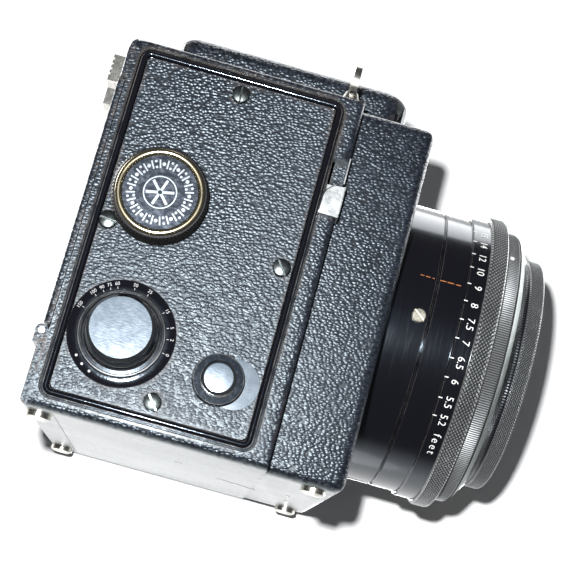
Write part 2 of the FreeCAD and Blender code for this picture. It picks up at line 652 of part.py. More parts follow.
# ---------------------------------------------------------------- rear
def make_rear():
    width = ("wall + 0.2 - body_width / 2", "body_width / 2 - wall - 0.2")
    full = (OUT, "body_width / 2")
    hinge = ("hinge_axis", "hinge_height")
    core = box("frame_core", width, ("seam_face", "rear_face"), (BASE + " + wall", TOP + " - wall - 0.2"))
    strip = box("frame_base", width, ("seam_face + 0.1", "rear_face"), (BASE, BASE + " + wall + 1"))
    ledge = box("frame_ledge", full, ("rear_face", "34.4"), (BASE, "16"))
    rail = box("frame_top_rail", full, ("rear_face", "34.2"), ("cover_high + 0.4", TOP))
    pieces = [core, strip, ledge, rail]
    for side, low, high in (("near", "-49", "-40"), ("far", "40", "49")):
        pieces.append(rod("frame_knuckle_" + side, "x", hinge, (low, high), "1.4"))
        pieces.append(box("frame_ear_" + side, (low, high), ("rear_face", "35.6"), ("15", "hinge_height")))
    tools = [
        box("frame_window", ("-30", "30"), ("seam_face - 1", "rear_face + 1"), ("21", "68")),
        rod("frame_pin_bore", "x", hinge, ("-49.5", "49.5"), "0.7"),
        rod("frame_hinge_room", "x", hinge, ("-39.9", "39.9"), "1.9"),
    ]
    tools += foot_holes("frame_foot_hole", "foot_reach")
    node("rear_frame", cut("rear_frame_cut", join("rear_frame_whole", pieces), tools))
    node("cover_hinge_pin", rod("cover_pin_rod", "x", hinge, ("-49", "49"), "0.7"))

    leaf = box("cover_leaf", ("-49", "49"), ("rear_face + 0.3", "34.5"), ("cover_low", "cover_high"))
    knuckle = rod("cover_knuckle", "x", hinge, ("-39.7", "39.7"), "1.4")
    web = box("cover_web", ("-39.7", "39.7"), ("rear_face + 0.3", "34.5"), ("hinge_height", "cover_low + 1"))
    notches = [box("cover_notch_" + side, (low, high), ("rear_face - 1", "37"), ("16", "19.6"))
               for side, low, high in (("near", "-50", "-39.7"), ("far", "39.7", "50"))]
    bore = rod("cover_bore", "x", hinge, ("-41", "41"), "0.7 + shaft_gap")
    node("rear_cover", cut("rear_cover_cut", join("rear_cover_whole", [leaf, knuckle, web]), notches + [bore]))

    node("latch_keeper", box("keeper_block", ("-42.5", "-37.5"), ("34.5", "36.9"), ("71.5", "75.3")))
    grip = box("latch_grip", ("-43", "-37"), ("34.3", "37.5"), ("76.9", "83.1"))
    grooves = []
    for number in range(4):
        low = 78.2 + 1.2 * number
        grooves.append(box("latch_groove_%d" % number, ("-44", "-36"), ("37.1", "38"), (low, low + 0.5)))
    node("latch_slider", cut("latch_slider_cut", grip, grooves))


# ---------------------------------------------------------------- lens
def sleeve(name, inner, outer, back, front, bevel="0.3"):
    """A plain ring on the lens axis whose two outer edges are bevelled."""
    profile = [(inner, back), (outer + " - " + bevel, back), (outer, "(%s) - %s" % (back, bevel)),
               (outer, "(%s) + %s" % (front, bevel)), (outer + " - " + bevel, front), (inner, front)]
    return on_lens_axis(turned(name, profile, "y"))


def flange_screw_places():
    """Three guide screws round the flange, the first one facing the control side."""
    places = []
    for number in range(3):
        turn = Rotation(Vector(0, 1, 0), 120 * number + 2)
        places.append(Placement(Vector(0, -44.3, SIZE["lens_height"]), turn))
    return places


def make_lens():
    running = "barrel_radius + shaft_gap"
    flange = sleeve("flange_ring", running, "flange_radius", "box_face", "flange_front")
    wells = []
    screws = []
    for number, spot in enumerate(flange_screw_places()):
        well = rod("flange_well_%d" % number, "x", ("0", "0"), ("-36", "-33.6"), "1.75")
        head = rod("flange_screw_head_%d" % number, "x", ("0", "0"), ("-35", "-33.6"), "1.7")
        slot = box("flange_screw_slot_%d" % number, ("-36", "-34.5"), ("-2", "2"), ("-0.25", "0.25"))
        screw = cut("flange_screw_%d" % number, head, [slot])
        holder = join("flange_well_place_%d" % number, [well, rod(
            "flange_pilot_%d" % number, "x", ("0", "0"), ("-34", "-33.4"), "0.6")])
        holder.Placement = spot
        screw.Placement = spot
        wells.append(holder)
        screws.append(screw)
    node("lens_flange", cut("lens_flange_cut", flange, wells))
    node("flange_screws", group("flange_screws_group", screws))

    node("index_ring", sleeve("index_sleeve", running, "flange_radius", "flange_front", "scale_front + 0.5"))
    over = "flange_radius + shaft_gap"
    node("distance_ring", sleeve("distance_sleeve", over, "scale_radius", "index_front", "scale_front", "0.2"))
    grip_profile = [(over, "scale_front"), ("grip_radius - 0.5", "scale_front"), ("grip_radius", "scale_front - 0.5"),
                    ("grip_radius", "grip_front + 0.7"), ("grip_radius - 0.9", "grip_front"),
                    (running, "grip_front"), (running, "grip_front + 0.6"), (over, "grip_front + 0.6")]
    node("focusing_grip_ring", on_lens_axis(turned("grip_body", grip_profile, "y")))
    node("aperture_ring", sleeve("stop_sleeve", running, "stop_radius", "grip_front - 0.3", "stop_front"))

    clear = "blade_inner + 0.7"
    barrel_profile = [
        (clear, "-41.2"), ("barrel_radius", "-41.2"), ("barrel_radius", "stop_front - 0.1"),
        ("stop_radius - 0.4", "stop_front - 0.1"), ("rim_radius + 0.6", "cone_front"), ("28.2", "cone_front"),
        ("28.2", "rim_back"), (clear, "rim_back"), (clear, "-58"), ("30", "-58"), ("30", "-48.5"),
        (clear, "-48.5")]
    node("lens_barrel", on_lens_axis(turned("barrel_body", barrel_profile, "y")))
    node("front_rim", sleeve("rim_sleeve", "26.1", "rim_radius", "rim_back", "rim_front"))

    front = common("front_glass", [
        rod("front_glass_rod", "y", LENS, ("-72.8", "-66"), "glass_radius"),
        ball("front_glass_ball", ("0", "12.2", "lens_height"), "85"),
    ])
    node("front_element", front)
    rear = common("rear_glass", [
        rod("rear_glass_rod", "y", LENS, ("-47", "-41.8"), "glass_radius"),
        ball("rear_glass_ball", ("0", "-126.8", "lens_height"), "85"),
    ])
    node("rear_element", rear)


def make_iris():
    """Arc blades, each on its own level; a blade swings inwards about a pivot near one end."""
    sweep = 120
    for number in range(BLADES):
        back = -49.4 - 1.1 * number
        span = (str(back - 0.3), str(back))
        outer = rod("blade_disc_%d" % number, "y", LENS, span, "blade_outer", sweep)
        inner = rod("blade_hole_%d" % number, "y", LENS, (str(back - 1.3), str(back + 1)), "blade_inner")
        start = 360.0 * number / BLADES
        outer.Placement = Placement(outer.Placement.Base, TURNS["y"] * Rotation(Vector(0, 0, 1), -start - sweep))
        node("iris_blade_%d" % (number + 1), cut("blade_cut_%d" % number, outer, [inner]))


# ---------------------------------------------------------------- strap lugs and tripod bush
def make_fittings():
    for label, across in (("strap_lug_right", "-45.8"), ("strap_lug_left", "45.8")):
        at = (across, "-16.2")
        eye_at = (across, TOP + " + 5")
        post = cone(label + "_post", "z", at, (TOP, TOP + " + 2.6"), "2.3", "1.3")
        shank = rod(label + "_shank", "z", at, (TOP + " - 2.8", TOP + " + 0.1"), "1.1")
        ring = rod(label + "_ring", "y", eye_at, ("-16.95", "-15.45"), "4.2")
        eye = rod(label + "_eye", "y", eye_at, ("-19", "-13"), "2.6")
        node(label, cut(label + "_cut", join(label + "_whole", [post, shank, ring]), [eye]))

    at = ("6.5", "lens_height")
    bush = rod("bush_body", "x", at, ("body_width / 2 - 8", "body_width / 2"), "6")
    thread = rod("bush_thread", "x", at, ("body_width / 2 - 7", "body_width / 2 + 1"), "4")
    node("tripod_bush", cut("tripod_bush_cut", bush, [thread]))


# ---------------------------------------------------------------- build and write
def check():
    """Stop on any failed feature or bad sub-part."""
    for item in doc.Objects:
        if "Invalid" in item.State or "Error" in item.State:
            raise RuntimeError("failed feature: " + item.Name)
    for item in NODES:
        shape = item.Shape
        if shape.isNull() or not shape.isValid() or shape.Volume <= 0:
            raise RuntimeError("bad sub-part: " + item.Label)


def main():
    make_cases()
    make_feet()
    make_bulkheads()
    make_panel()
    make_winding_knob()
    make_speed_dial()
    make_release()
    make_winding_train()
    make_shutter()
    make_mirror()
    make_hood()
    make_rear()
    make_lens()
    make_iris()
    make_fittings()
    doc.recompute()
    check()
    os.makedirs("parts", exist_ok=True)
    for item in NODES:
        item.Shape.exportStep(os.path.join("parts", item.Label + ".step"))
        box_of = item.Shape.BoundBox
        print("%-22s solids %d  volume %9.1f  x %6.1f %6.1f  y %6.1f %6.1f  z %6.1f %6.1f" % (
            item.Label, len(item.Shape.Solids), item.Shape.Volume,
            box_of.XMin, box_of.XMax, box_of.YMin, box_of.YMax, box_of.ZMin, box_of.ZMax))
    print("nodes", len(NODES))


main()
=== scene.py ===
import json
import math

import bmesh
import bpy
import numpy as np
from mathutils import Matrix, Vector


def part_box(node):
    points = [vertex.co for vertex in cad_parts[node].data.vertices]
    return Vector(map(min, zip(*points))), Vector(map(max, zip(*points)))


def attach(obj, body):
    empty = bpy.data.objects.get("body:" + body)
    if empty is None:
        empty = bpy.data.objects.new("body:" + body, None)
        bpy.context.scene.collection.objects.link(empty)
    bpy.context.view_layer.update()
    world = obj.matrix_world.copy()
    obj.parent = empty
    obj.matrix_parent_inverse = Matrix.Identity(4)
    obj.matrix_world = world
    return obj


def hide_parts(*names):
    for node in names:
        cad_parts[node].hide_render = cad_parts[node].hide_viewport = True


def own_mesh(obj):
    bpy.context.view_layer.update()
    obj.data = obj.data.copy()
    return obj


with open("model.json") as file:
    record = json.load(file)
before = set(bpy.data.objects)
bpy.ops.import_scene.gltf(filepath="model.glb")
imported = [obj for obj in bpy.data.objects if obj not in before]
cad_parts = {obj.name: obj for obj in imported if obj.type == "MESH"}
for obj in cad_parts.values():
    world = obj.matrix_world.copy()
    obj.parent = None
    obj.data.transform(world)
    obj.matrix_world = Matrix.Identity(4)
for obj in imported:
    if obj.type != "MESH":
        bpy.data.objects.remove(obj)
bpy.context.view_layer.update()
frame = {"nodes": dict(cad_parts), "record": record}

MM = 0.001
TAU = 2 * math.pi

# ---------------------------------------------------------------- driving sizes, in millimetres as in the CAD
CASE_SIDE, CASE_LOW, CASE_TOP, RIDGE_FACE = 50.0, 1.5, 86.0, -19.6
BOX_SIDE, BOX_FACE = 44.0, -37.0
RAIL_REAR, LEDGE_REAR, LEDGE_TOP = 34.2, 34.4, 16.0
COVER_SIDE, COVER_TOP, COVER_REAR = 49.0, 76.0, 34.5
REAR_CORNER = 3.0
PANEL_LOW, PANEL_HIGH, PANEL_CORNER = (-15.9, 3.9), (31.6, 84.7), 3.0
PANEL_SCREW_AT = ((7.5, 79.6), (7.5, 9.0), (27.5, 44.4), (-11.2, 44.4))
KNOB_AT, KNOB_RADIUS, KNOB_FACE = (18.0, 51.7), 10.5, -56.32
DIAL_AT, DIAL_RADIUS, DIAL_FACE = (17.8, 21.3), 11.6, -50.62
BUTTON_AT, BUTTON_RADIUS = (-4.6, 17.2), 3.7
LENS_HEIGHT = 44.6
BORE, BAND, SCALE, GRIP, STOP, RIM = 31.1, 34.8, 35.6, 36.7, 34.2, 29.0
FLANGE_FRONT, INDEX_FRONT, SCALE_FRONT, GRIP_FRONT = -46.8, -57.3, -57.8, -62.0
RIM_BACK, RIM_FRONT = -69.7, -73.3


# ---------------------------------------------------------------- shader helpers
PEBBLES = 1500.0          # leather grain, cells to a metre before stretching
GRAIN_TURN = (0.3, 0.08, 0.08)
GRAIN_STRETCH = (1.0, 0.74, 1.16)


class Paint:
    """A node material on the Principled shader, with object coordinates at hand."""

    def __init__(self, name):
        self.material = bpy.data.materials.new(name)
        self.material.use_nodes = True
        self.tree = self.material.node_tree
        self.shader = self.tree.nodes["Principled BSDF"]
        self.place = self.add("ShaderNodeTexCoord").outputs["Object"]

    def add(self, kind, **settings):
        made = self.tree.nodes.new(kind)
        for key, value in settings.items():
            setattr(made, key, value)
        return made

    def feed(self, socket, value):
        if isinstance(value, bpy.types.NodeSocket):
            self.tree.links.new(value, socket)
        else:
            socket.default_value = value

    def set(self, **values):
        for key, value in values.items():
            name = key.replace("_", " ")
            socket = next(s for s in self.shader.inputs if s.name.lower() == name)
            if isinstance(value, tuple) and len(value) == 3:
                value = (*value, 1.0)
            self.feed(socket, value)

    def stretched(self, scale=(1, 1, 1), turn=(0, 0, 0)):
        node = self.add("ShaderNodeMapping")
        self.feed(node.inputs["Vector"], self.place)
        node.inputs["Scale"].default_value = scale
        node.inputs["Rotation"].default_value = turn
        return node.outputs["Vector"]

    def noise(self, scale, detail=2.0, rough=0.5, vector=None, distortion=0.0):
        node = self.add("ShaderNodeTexNoise")
        self.feed(node.inputs["Vector"], vector or self.place)
        node.inputs["Scale"].default_value = scale
        node.inputs["Detail"].default_value = detail
        node.inputs["Roughness"].default_value = rough
        node.inputs["Distortion"].default_value = distortion
        return node.outputs["Fac"]

    def cells(self, scale, vector=None, smooth=None, chance=1.0):
        node = self.add("ShaderNodeTexVoronoi", feature="SMOOTH_F1" if smooth else "F1")
        self.feed(node.inputs["Vector"], vector or self.place)
        node.inputs["Scale"].default_value = scale
        node.inputs["Randomness"].default_value = chance
        if smooth:
            node.inputs["Smoothness"].default_value = smooth
        return node.outputs["Distance"]

    def ramp(self, value, *stops):
        node = self.add("ShaderNodeValToRGB")
        self.feed(node.inputs["Fac"], value)
        marks = node.color_ramp.elements
        while len(marks) < len(stops):
            marks.new(0.5)
        for mark, (at, colour) in zip(marks, stops):
            mark.position = at
            if not isinstance(colour, tuple):
                colour = (colour, colour, colour)
            mark.color = (*colour, 1.0)
        return node.outputs["Color"]

    def maths(self, operation, a, b=0.0, clamp=False):
        node = self.add("ShaderNodeMath", operation=operation, use_clamp=clamp)
        self.feed(node.inputs[0], a)
        self.feed(node.inputs[1], b)
        return node.outputs[0]

    def mix(self, share, a, b):
        node = self.add("ShaderNodeMix", data_type="RGBA")
        self.feed(node.inputs[0], share)
        for socket, value in ((node.inputs[6], a), (node.inputs[7], b)):
            self.feed(socket, (*value, 1.0) if isinstance(value, tuple) else value)
        return node.outputs[2]

    def blend(self, share, a, b):
        """Plain numbers a and b mixed by share."""
        return self.maths("ADD", self.maths("MULTIPLY", share, b - a), a)

    def bump(self, height, distance, strength=1.0, under=None):
        node = self.add("ShaderNodeBump")
        self.feed(node.inputs["Height"], height)
        node.inputs["Distance"].default_value = distance
        node.inputs["Strength"].default_value = strength
        if under:
            self.feed(node.inputs["Normal"], under)
        self.feed(self.shader.inputs["Normal"], node.outputs["Normal"])
        return node.outputs["Normal"]

    def edges(self, radius, low=0.02, high=0.3):
        """White along the convex and concave edges of a mesh, black on its flats."""
        bevel = self.add("ShaderNodeBevel", samples=6)
        bevel.inputs["Radius"].default_value = radius
        flat = self.add("ShaderNodeNewGeometry").outputs["Normal"]
        dot = self.add("ShaderNodeVectorMath", operation="DOT_PRODUCT")
        self.feed(dot.inputs[0], bevel.outputs["Normal"])
        self.feed(dot.inputs[1], flat)
        away = self.maths("SUBTRACT", 1.0, dot.outputs["Value"])
        return self.ramp(away, (low, 0.0), (high, 1.0))

    def attribute(self, name):
        node = self.add("ShaderNodeAttribute", attribute_type="GEOMETRY", attribute_name=name)
        return node.outputs["Fac"]


def leather(name, grain=PEBBLES, tint=(0.006, 0.007, 0.010), worn=(0.10, 0.06, 0.035), depth=0.00012,
            gloss=0.295, wear=0.35, painted_pebble_sheen=(0.028, 0.036, 0.052)):
    p = Paint(name)
    spread = p.stretched(GRAIN_STRETCH, GRAIN_TURN)
    wobble = p.add("ShaderNodeTexNoise")
    p.feed(wobble.inputs["Vector"], spread)
    wobble.inputs["Scale"].default_value = 520.0
    warp = p.add("ShaderNodeVectorMath", operation="MULTIPLY_ADD")
    p.feed(warp.inputs[0], wobble.outputs["Color"])
    warp.inputs[1].default_value = (0.0006, 0.0006, 0.0006)
    p.feed(warp.inputs[2], spread)
    pebbles = p.cells(grain, warp.outputs[0], smooth=0.3, chance=0.8)
    mounds = p.ramp(pebbles, (0.05, 1.0), (0.7, 0.0))
    edge = p.edges(0.0016, 0.01, 0.2)
    broad = p.noise(38, 3.0, 0.55)
    height = p.maths("ADD", mounds, p.maths("MULTIPLY", p.noise(6000, 2.0, 0.6), 0.12))
    height = p.maths("MULTIPLY", height, p.blend(edge, 1.0, 0.3))
    # Mask of faces looking down: it flattens the grain, adds coat there, and places the underside's painted
    # reflection.
    down = p.add("ShaderNodeSeparateXYZ")
    p.feed(down.inputs[0], p.add("ShaderNodeNewGeometry").outputs["Normal"])
    base_side = p.ramp(p.maths("MULTIPLY", down.outputs["Z"], -1.0), (0.55, 0.0), (0.95, 1.0))
    height = p.maths("MULTIPLY", height, p.blend(base_side, 1.0, 0.55))
    p.bump(height, depth, 1.0)
    patches = p.ramp(p.noise(190, 4.0, 0.65), (0.42, 0.0), (0.62, 1.0))
    rubbed = p.maths("MULTIPLY", edge, patches)
    shade = p.mix(p.ramp(broad, (0.35, 0.0), (0.7, 1.0)), tint, tuple(1.7 * c for c in tint))
    # Pebble tops painted a lighter blue as painted sheen; the cracks between them painted near black as
    # painted shade.
    shade = p.mix(0.4, shade, p.ramp(pebbles, (0.3, painted_pebble_sheen), (0.7, (0.001, 0.001, 0.002))))
    shade = p.mix(p.maths("MULTIPLY", rubbed, wear), shade, worn)
    # Faces looking down are painted a lighter grey-green in flecks: painted reflection of the white table.
    underside_sheen_flecks = p.ramp(p.noise(700, 4.0, 0.7), (0.36, 0.2), (0.56, 1.0))
    shade = p.mix(p.maths("MULTIPLY", p.maths("MULTIPLY", base_side, underside_sheen_flecks), 0.8), shade, (0.14, 0.16, 0.16))
    rough = p.maths("ADD", p.blend(p.ramp(broad, (0.3, 0.0), (0.7, 1.0)), gloss, gloss + 0.1),
                    p.maths("MULTIPLY", rubbed, 0.2))
    p.set(base_color=shade, specular_ior_level=0.50, specular_tint=(0.80, 0.92, 1.0), roughness=rough,
          coat_roughness=0.2, coat_weight=p.blend(base_side, 0.1, 0.7))
    return p.material


def enamel(name, tint=(0.004, 0.004, 0.006), rough=0.11, worn=(0.55, 0.52, 0.47), wear=0.7, turned=None):
    p = Paint(name)
    lines = p.stretched(turned) if turned else None
    scuffs = p.ramp(p.noise(1100, 5.0, 0.7, lines), (0.5, 0.0), (0.75, 1.0))
    rubs = p.ramp(p.noise(420, 3.0), (0.36, 0.15), (0.58, 1.0))
    bare = p.maths("MULTIPLY", p.maths("MULTIPLY", p.edges(0.00035, 0.04, 0.3), rubs), wear)
    p.set(base_color=p.mix(bare, tint, worn), metallic=bare)
    p.set(roughness=p.blend(scuffs, rough, rough + 0.07), coat_weight=0.25, coat_roughness=0.04,
          specular_tint=(0.72, 0.86, 1.0))
    p.bump(p.noise(3200, 3.0, 0.6, lines), 0.000012, 0.7)
    return p.material


def metal(name, colour, rough=0.22, dark=0.55, brushed=None, stain=0.35, spot=260.0, vary=1.0):
    p = Paint(name)
    patches = p.ramp(p.noise(spot, 5.0, 0.65), (0.38, 0.0), (0.7, 1.0))
    dull = tuple(c * dark for c in colour)
    # Darkens the colour along convex and concave edges.
    edge_darkening = p.maths("MULTIPLY", p.edges(0.0004, 0.02, 0.3), 0.5)
    tone = p.mix(p.maths("MULTIPLY", patches, stain), colour, dull)
    p.set(base_color=p.mix(edge_darkening, tone, tuple(c * 0.35 for c in colour)), metallic=1.0)
    grainy = p.noise(3400, 3.0, 0.6, p.stretched(brushed) if brushed else None)
    p.set(roughness=p.maths("ADD", p.blend(grainy, rough - 0.06 * vary, rough + 0.1 * vary),
                            p.maths("MULTIPLY", patches, 0.12 * vary)))
    p.bump(grainy, 0.000012, 0.7)
    return p.material


def knurl_metal(name, low, high, rough=0.3, cut_in=0.35):
    p = Paint(name)
    ridge = p.attribute("ridge")
    patches = p.noise(120, 4.0, 0.6)
    share = p.maths("MULTIPLY", p.ramp(ridge, (cut_in, 0.0), (0.95, 1.0)),
                    p.ramp(patches, (0.25, 0.55), (0.62, 1.0)))
    p.set(base_color=p.mix(share, low, high), metallic=p.blend(share, 0.55, 1.0))
    p.set(roughness=p.blend(p.noise(1800, 3.0), rough - 0.05, rough + 0.14))
    p.bump(p.noise(4200, 2.0), 0.00001, 0.5)
    return p.material


def paint_mark(name, colour, rough=0.5):
    p = Paint(name)
    p.set(base_color=p.mix(p.ramp(p.noise(2600, 4.0, 0.7), (0.42, 0.0), (0.75, 1.0)), colour,
                           tuple(c * 0.55 for c in colour)), roughness=rough)
    p.bump(p.noise(3000, 2.0), 0.00001, 0.5)
    return p.material


def glass(name, tint, rough=0.02, coat=(0.35, 0.25, 0.55)):
    p = Paint(name)
    p.set(base_color=p.mix(p.noise(40, 2.0), tint, tuple(c * 0.97 for c in tint)), roughness=rough,
          transmission_weight=1.0, ior=1.5, coat_weight=0.6, coat_tint=coat)
    p.bump(p.noise(900, 2.0), 0.000002, 0.2)
    return p.material


def cloth(name, tint, rough=0.8):
    p = Paint(name)
    weave = p.add("ShaderNodeTexWave", wave_type="BANDS", bands_direction="X")
    other = p.add("ShaderNodeTexWave", wave_type="BANDS", bands_direction="Z")
    for node in (weave, other):
        p.feed(node.inputs["Vector"], p.place)
        node.inputs["Scale"].default_value = 700.0
        node.inputs["Distortion"].default_value = 1.5
    threads = p.maths("MAXIMUM", weave.outputs["Fac"], other.outputs["Fac"])
    p.set(base_color=p.mix(threads, tuple(c * 0.5 for c in tint), tint), roughness=rough, sheen_weight=0.25)
    p.bump(threads, 0.00006, 0.8)
    return p.material


def plate_paint(name):
    """Etched plate: blue-grey field with fine rubbing marks."""
    p = Paint(name)
    rub = p.ramp(p.noise(1300, 6.0, 0.7, p.stretched((1, 0.5, 1), (0.6, 0, 0))), (0.45, 0.0), (0.8, 1.0))
    tone = p.mix(rub, (0.022, 0.028, 0.038), (0.10, 0.115, 0.14))
    p.set(base_color=tone, metallic=0.75, roughness=p.blend(rub, 0.3, 0.42))
    p.bump(rub, 0.00002, 0.6)
    return p.material


LEATHER = leather("pebbled_leather")
LEATHER_WORN = leather("pebbled_leather_worn", wear=0.85, gloss=0.34)
HOOD_LEATHER = leather("hood_leather", tint=(0.012, 0.011, 0.012), depth=0.00012, gloss=0.42)
ENAMEL = enamel("black_enamel")
NICKEL = metal("worn_nickel", (0.62, 0.60, 0.55), 0.2)
SATIN = metal("satin_silver", (0.48, 0.54, 0.60), 0.11, dark=0.6,
              brushed=(1, 0.25, 1), stain=0.8, spot=520.0, vary=0.3)
CRESCENT = metal("crescent_silver", (0.34, 0.38, 0.42), 0.11, dark=0.6, stain=0.6, vary=0.25)
SCREW_NICKEL = metal("screw_nickel", (0.15, 0.17, 0.17), 0.22, dark=0.5, stain=0.8, spot=600.0)
LEVER_NICKEL = metal("lever_nickel", (0.50, 0.52, 0.52), 0.27, dark=0.7, stain=0.5, spot=420.0)
BRASSY = metal("brassy_nickel", (0.50, 0.44, 0.30), 0.2, dark=0.4, stain=0.7)
BRIGHT_STEEL = metal("bright_steel", (0.45, 0.45, 0.46), 0.25)
BRASS = metal("machined_brass", (0.62, 0.45, 0.18), 0.28)
ALUMINIUM = metal("machined_aluminium", (0.55, 0.56, 0.58), 0.36)
BLACKENED = metal("blackened_brass", (0.10, 0.10, 0.11), 0.3)
PLATE = plate_paint("etched_plate")
CURTAIN = cloth("curtain_cloth", (0.025, 0.025, 0.028))
LENS_GLASS = glass("coated_lens_glass", (0.97, 0.98, 1.0))
SCREEN_GLASS = glass("ground_glass", (0.9, 0.92, 0.92), rough=0.45, coat=(1, 1, 1))
MIRROR = metal("mirror_silver", (0.82, 0.83, 0.83), 0.06, dark=0.9, stain=0.15)
WHITE = paint_mark("white_fill", (0.82, 0.82, 0.80))
ORANGE = paint_mark("orange_fill", (0.50, 0.17, 0.05))
GREY_FILL = paint_mark("grey_fill", (0.45, 0.46, 0.46))

FINISH = {
    "case_leather": LEATHER,
    "black_enamel": ENAMEL,
    "nickel": NICKEL,
    "satin_silver": SATIN,
    "blackened_brass": BLACKENED,
    "steel": BRIGHT_STEEL,
    "brass": BRASS,
    "aluminium": ALUMINIUM,
    "engraved_plate": PLATE,
    "curtain_cloth": CURTAIN,
    "hood_leather": HOOD_LEATHER,
    "lens_glass": LENS_GLASS,
    "screen_glass": SCREEN_GLASS,
    "mirror_silver": MIRROR,
}


# ---------------------------------------------------------------- mesh helpers
def piece(name, points, faces, material, body, slot=None, instead_of=(), crease=32.0, ridge=None):
    """A closed mesh in the row frame that rides on a CAD body."""
    mesh = bpy.data.meshes.new(name)
    mesh.from_pydata([tuple(p) for p in points], [], faces)
    if ridge is not None:
        heights = mesh.attributes.new("ridge", "FLOAT", "POINT")
        heights.data.foreach_set("value", np.asarray(ridge, np.float32))
    work = bmesh.new()
    work.from_mesh(mesh)
    bmesh.ops.recalc_face_normals(work, faces=work.faces)
    work.to_mesh(mesh)
    work.free()
    mesh.shade_smooth()
    mesh.set_sharp_from_angle(angle=math.radians(crease))
    obj = bpy.data.objects.new(name, mesh)
    bpy.context.scene.collection.objects.link(obj)
    obj.data.materials.append(material)
    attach(obj, body)
    if instead_of:
        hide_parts(*instead_of)
    return obj


def on_axis(axis, centre, radius, along, angle):
    """A point at a radius and angle round an x or y axis. Angles on the lens run from -x up to +z."""
    if axis == "y":
        return (centre[0] - radius * math.cos(angle), along, centre[1] + radius * math.sin(angle))
    return (along, centre[0] - radius * math.cos(angle), centre[1] + radius * math.sin(angle))


LENS = ("y", (0.0, LENS_HEIGHT * MM))


def ring_faces(rows, count, closed):
    faces = []
    for i in range(rows if closed else rows - 1):
        a, b = i * count, (i + 1) % rows * count
        for k in range(count):
            n = (k + 1) % count
            faces.append((a + k, a + n, b + n, b + k))
    return faces


def lathe(name, axis, profile, material, body, steps=128, **more):
    """A turned piece. profile is (radius, along) pairs in mm; a solid one starts and ends at radius 0."""
    direction, centre = axis
    points, faces = [], []
    solid = profile[0][0] == 0
    rows = profile[1:-1] if solid else profile
    for radius, along in rows:
        for k in range(steps):
            points.append(on_axis(direction, centre, radius * MM, along * MM, TAU * k / steps))
    faces = ring_faces(len(rows), steps, not solid)
    if solid:
        for end, row in ((profile[0], 0), (profile[-1], len(rows) - 1)):
            points.append(on_axis(direction, centre, 0.0, end[1] * MM, 0.0))
            tip = len(points) - 1
            for k in range(steps):
                faces.append((tip, row * steps + k, row * steps + (k + 1) % steps))
    return piece(name, points, faces, material, body, **more)


def knurled(name, axis, radius, depth, span, inner, count, rows, material, body, straight=False, chamfer=0.35,
            **more):
    """A ring with a diamond or straight knurl. Lengths in millimetres; span is (low, high) along the axis."""
    direction, centre = axis
    low, high = span
    steps = 2 * count
    shoulder = radius - depth - 0.25
    ring_list = [(inner, low, 0.0, False), (shoulder, low, 0.35, False)]
    start, stop = low + chamfer, high - chamfer
    for j in range(rows + 1):
        ring_list.append((radius, start + (stop - start) * j / rows, 1.0, True))
    ring_list += [(shoulder, high, 0.35, False), (inner, high, 0.0, False)]
    points, ridge = [], []
    row = -1
    for r, along, level, cut in ring_list:
        row += cut
        for k in range(steps):
            peak = (k % 2 == 1) if straight else ((k + row) % 2 == 1)
            here = r - (0 if peak else depth) if cut else r
            if cut and row in (0, rows):
                here -= depth * 0.4 if peak else 0
            points.append(on_axis(direction, centre, here * MM, along * MM, TAU * k / steps))
            ridge.append((1.0 if peak else 0.0) if cut else level)
    faces = []
    total = len(ring_list)
    for i in range(total):
        a, b = i * steps, (i + 1) % total * steps
        both = ring_list[i][3] and ring_list[(i + 1) % total][3]
        for k in range(steps):
            n = (k + 1) % steps
            quad = (a + k, a + n, b + n, b + k)
            if both and not straight:
                if ridge[quad[0]] < 0.5:
                    faces += [(quad[0], quad[1], quad[2]), (quad[0], quad[2], quad[3])]
                else:
                    faces += [(quad[1], quad[2], quad[3]), (quad[1], quad[3], quad[0])]
            else:
                faces.append(quad)
    return piece(name, points, faces, material, body, ridge=ridge, crease=20.0 if straight else 12.0, **more)


def text_mesh(words, size, thick=0.05, spacing=1.0):
    """Points (in millimetres, centred on the line) and faces of a short number set in the built-in face."""
    curve = bpy.data.curves.new("words", "FONT")
    curve.body = words
    curve.size = size
    curve.extrude = thick
    curve.align_x = "CENTER"
    curve.align_y = "CENTER"
    curve.offset = -0.006 * size
    curve.space_character = spacing
    carrier = bpy.data.objects.new("words", curve)
    bpy.context.scene.collection.objects.link(carrier)
    bpy.context.view_layer.update()
    shaped = carrier.evaluated_get(bpy.context.evaluated_depsgraph_get())
    mesh = bpy.data.meshes.new_from_object(shaped)
    work = bmesh.new()
    work.from_mesh(mesh)
    bmesh.ops.remove_doubles(work, verts=work.verts, dist=1e-5)
    work.verts.index_update()
    points = [tuple(v.co) for v in work.verts]
    faces = [tuple(v.index for v in f.verts) for f in work.faces]
    work.free()
    bpy.data.objects.remove(carrier)
    bpy.data.meshes.remove(mesh)
    bpy.data.curves.remove(curve)
    return points, faces


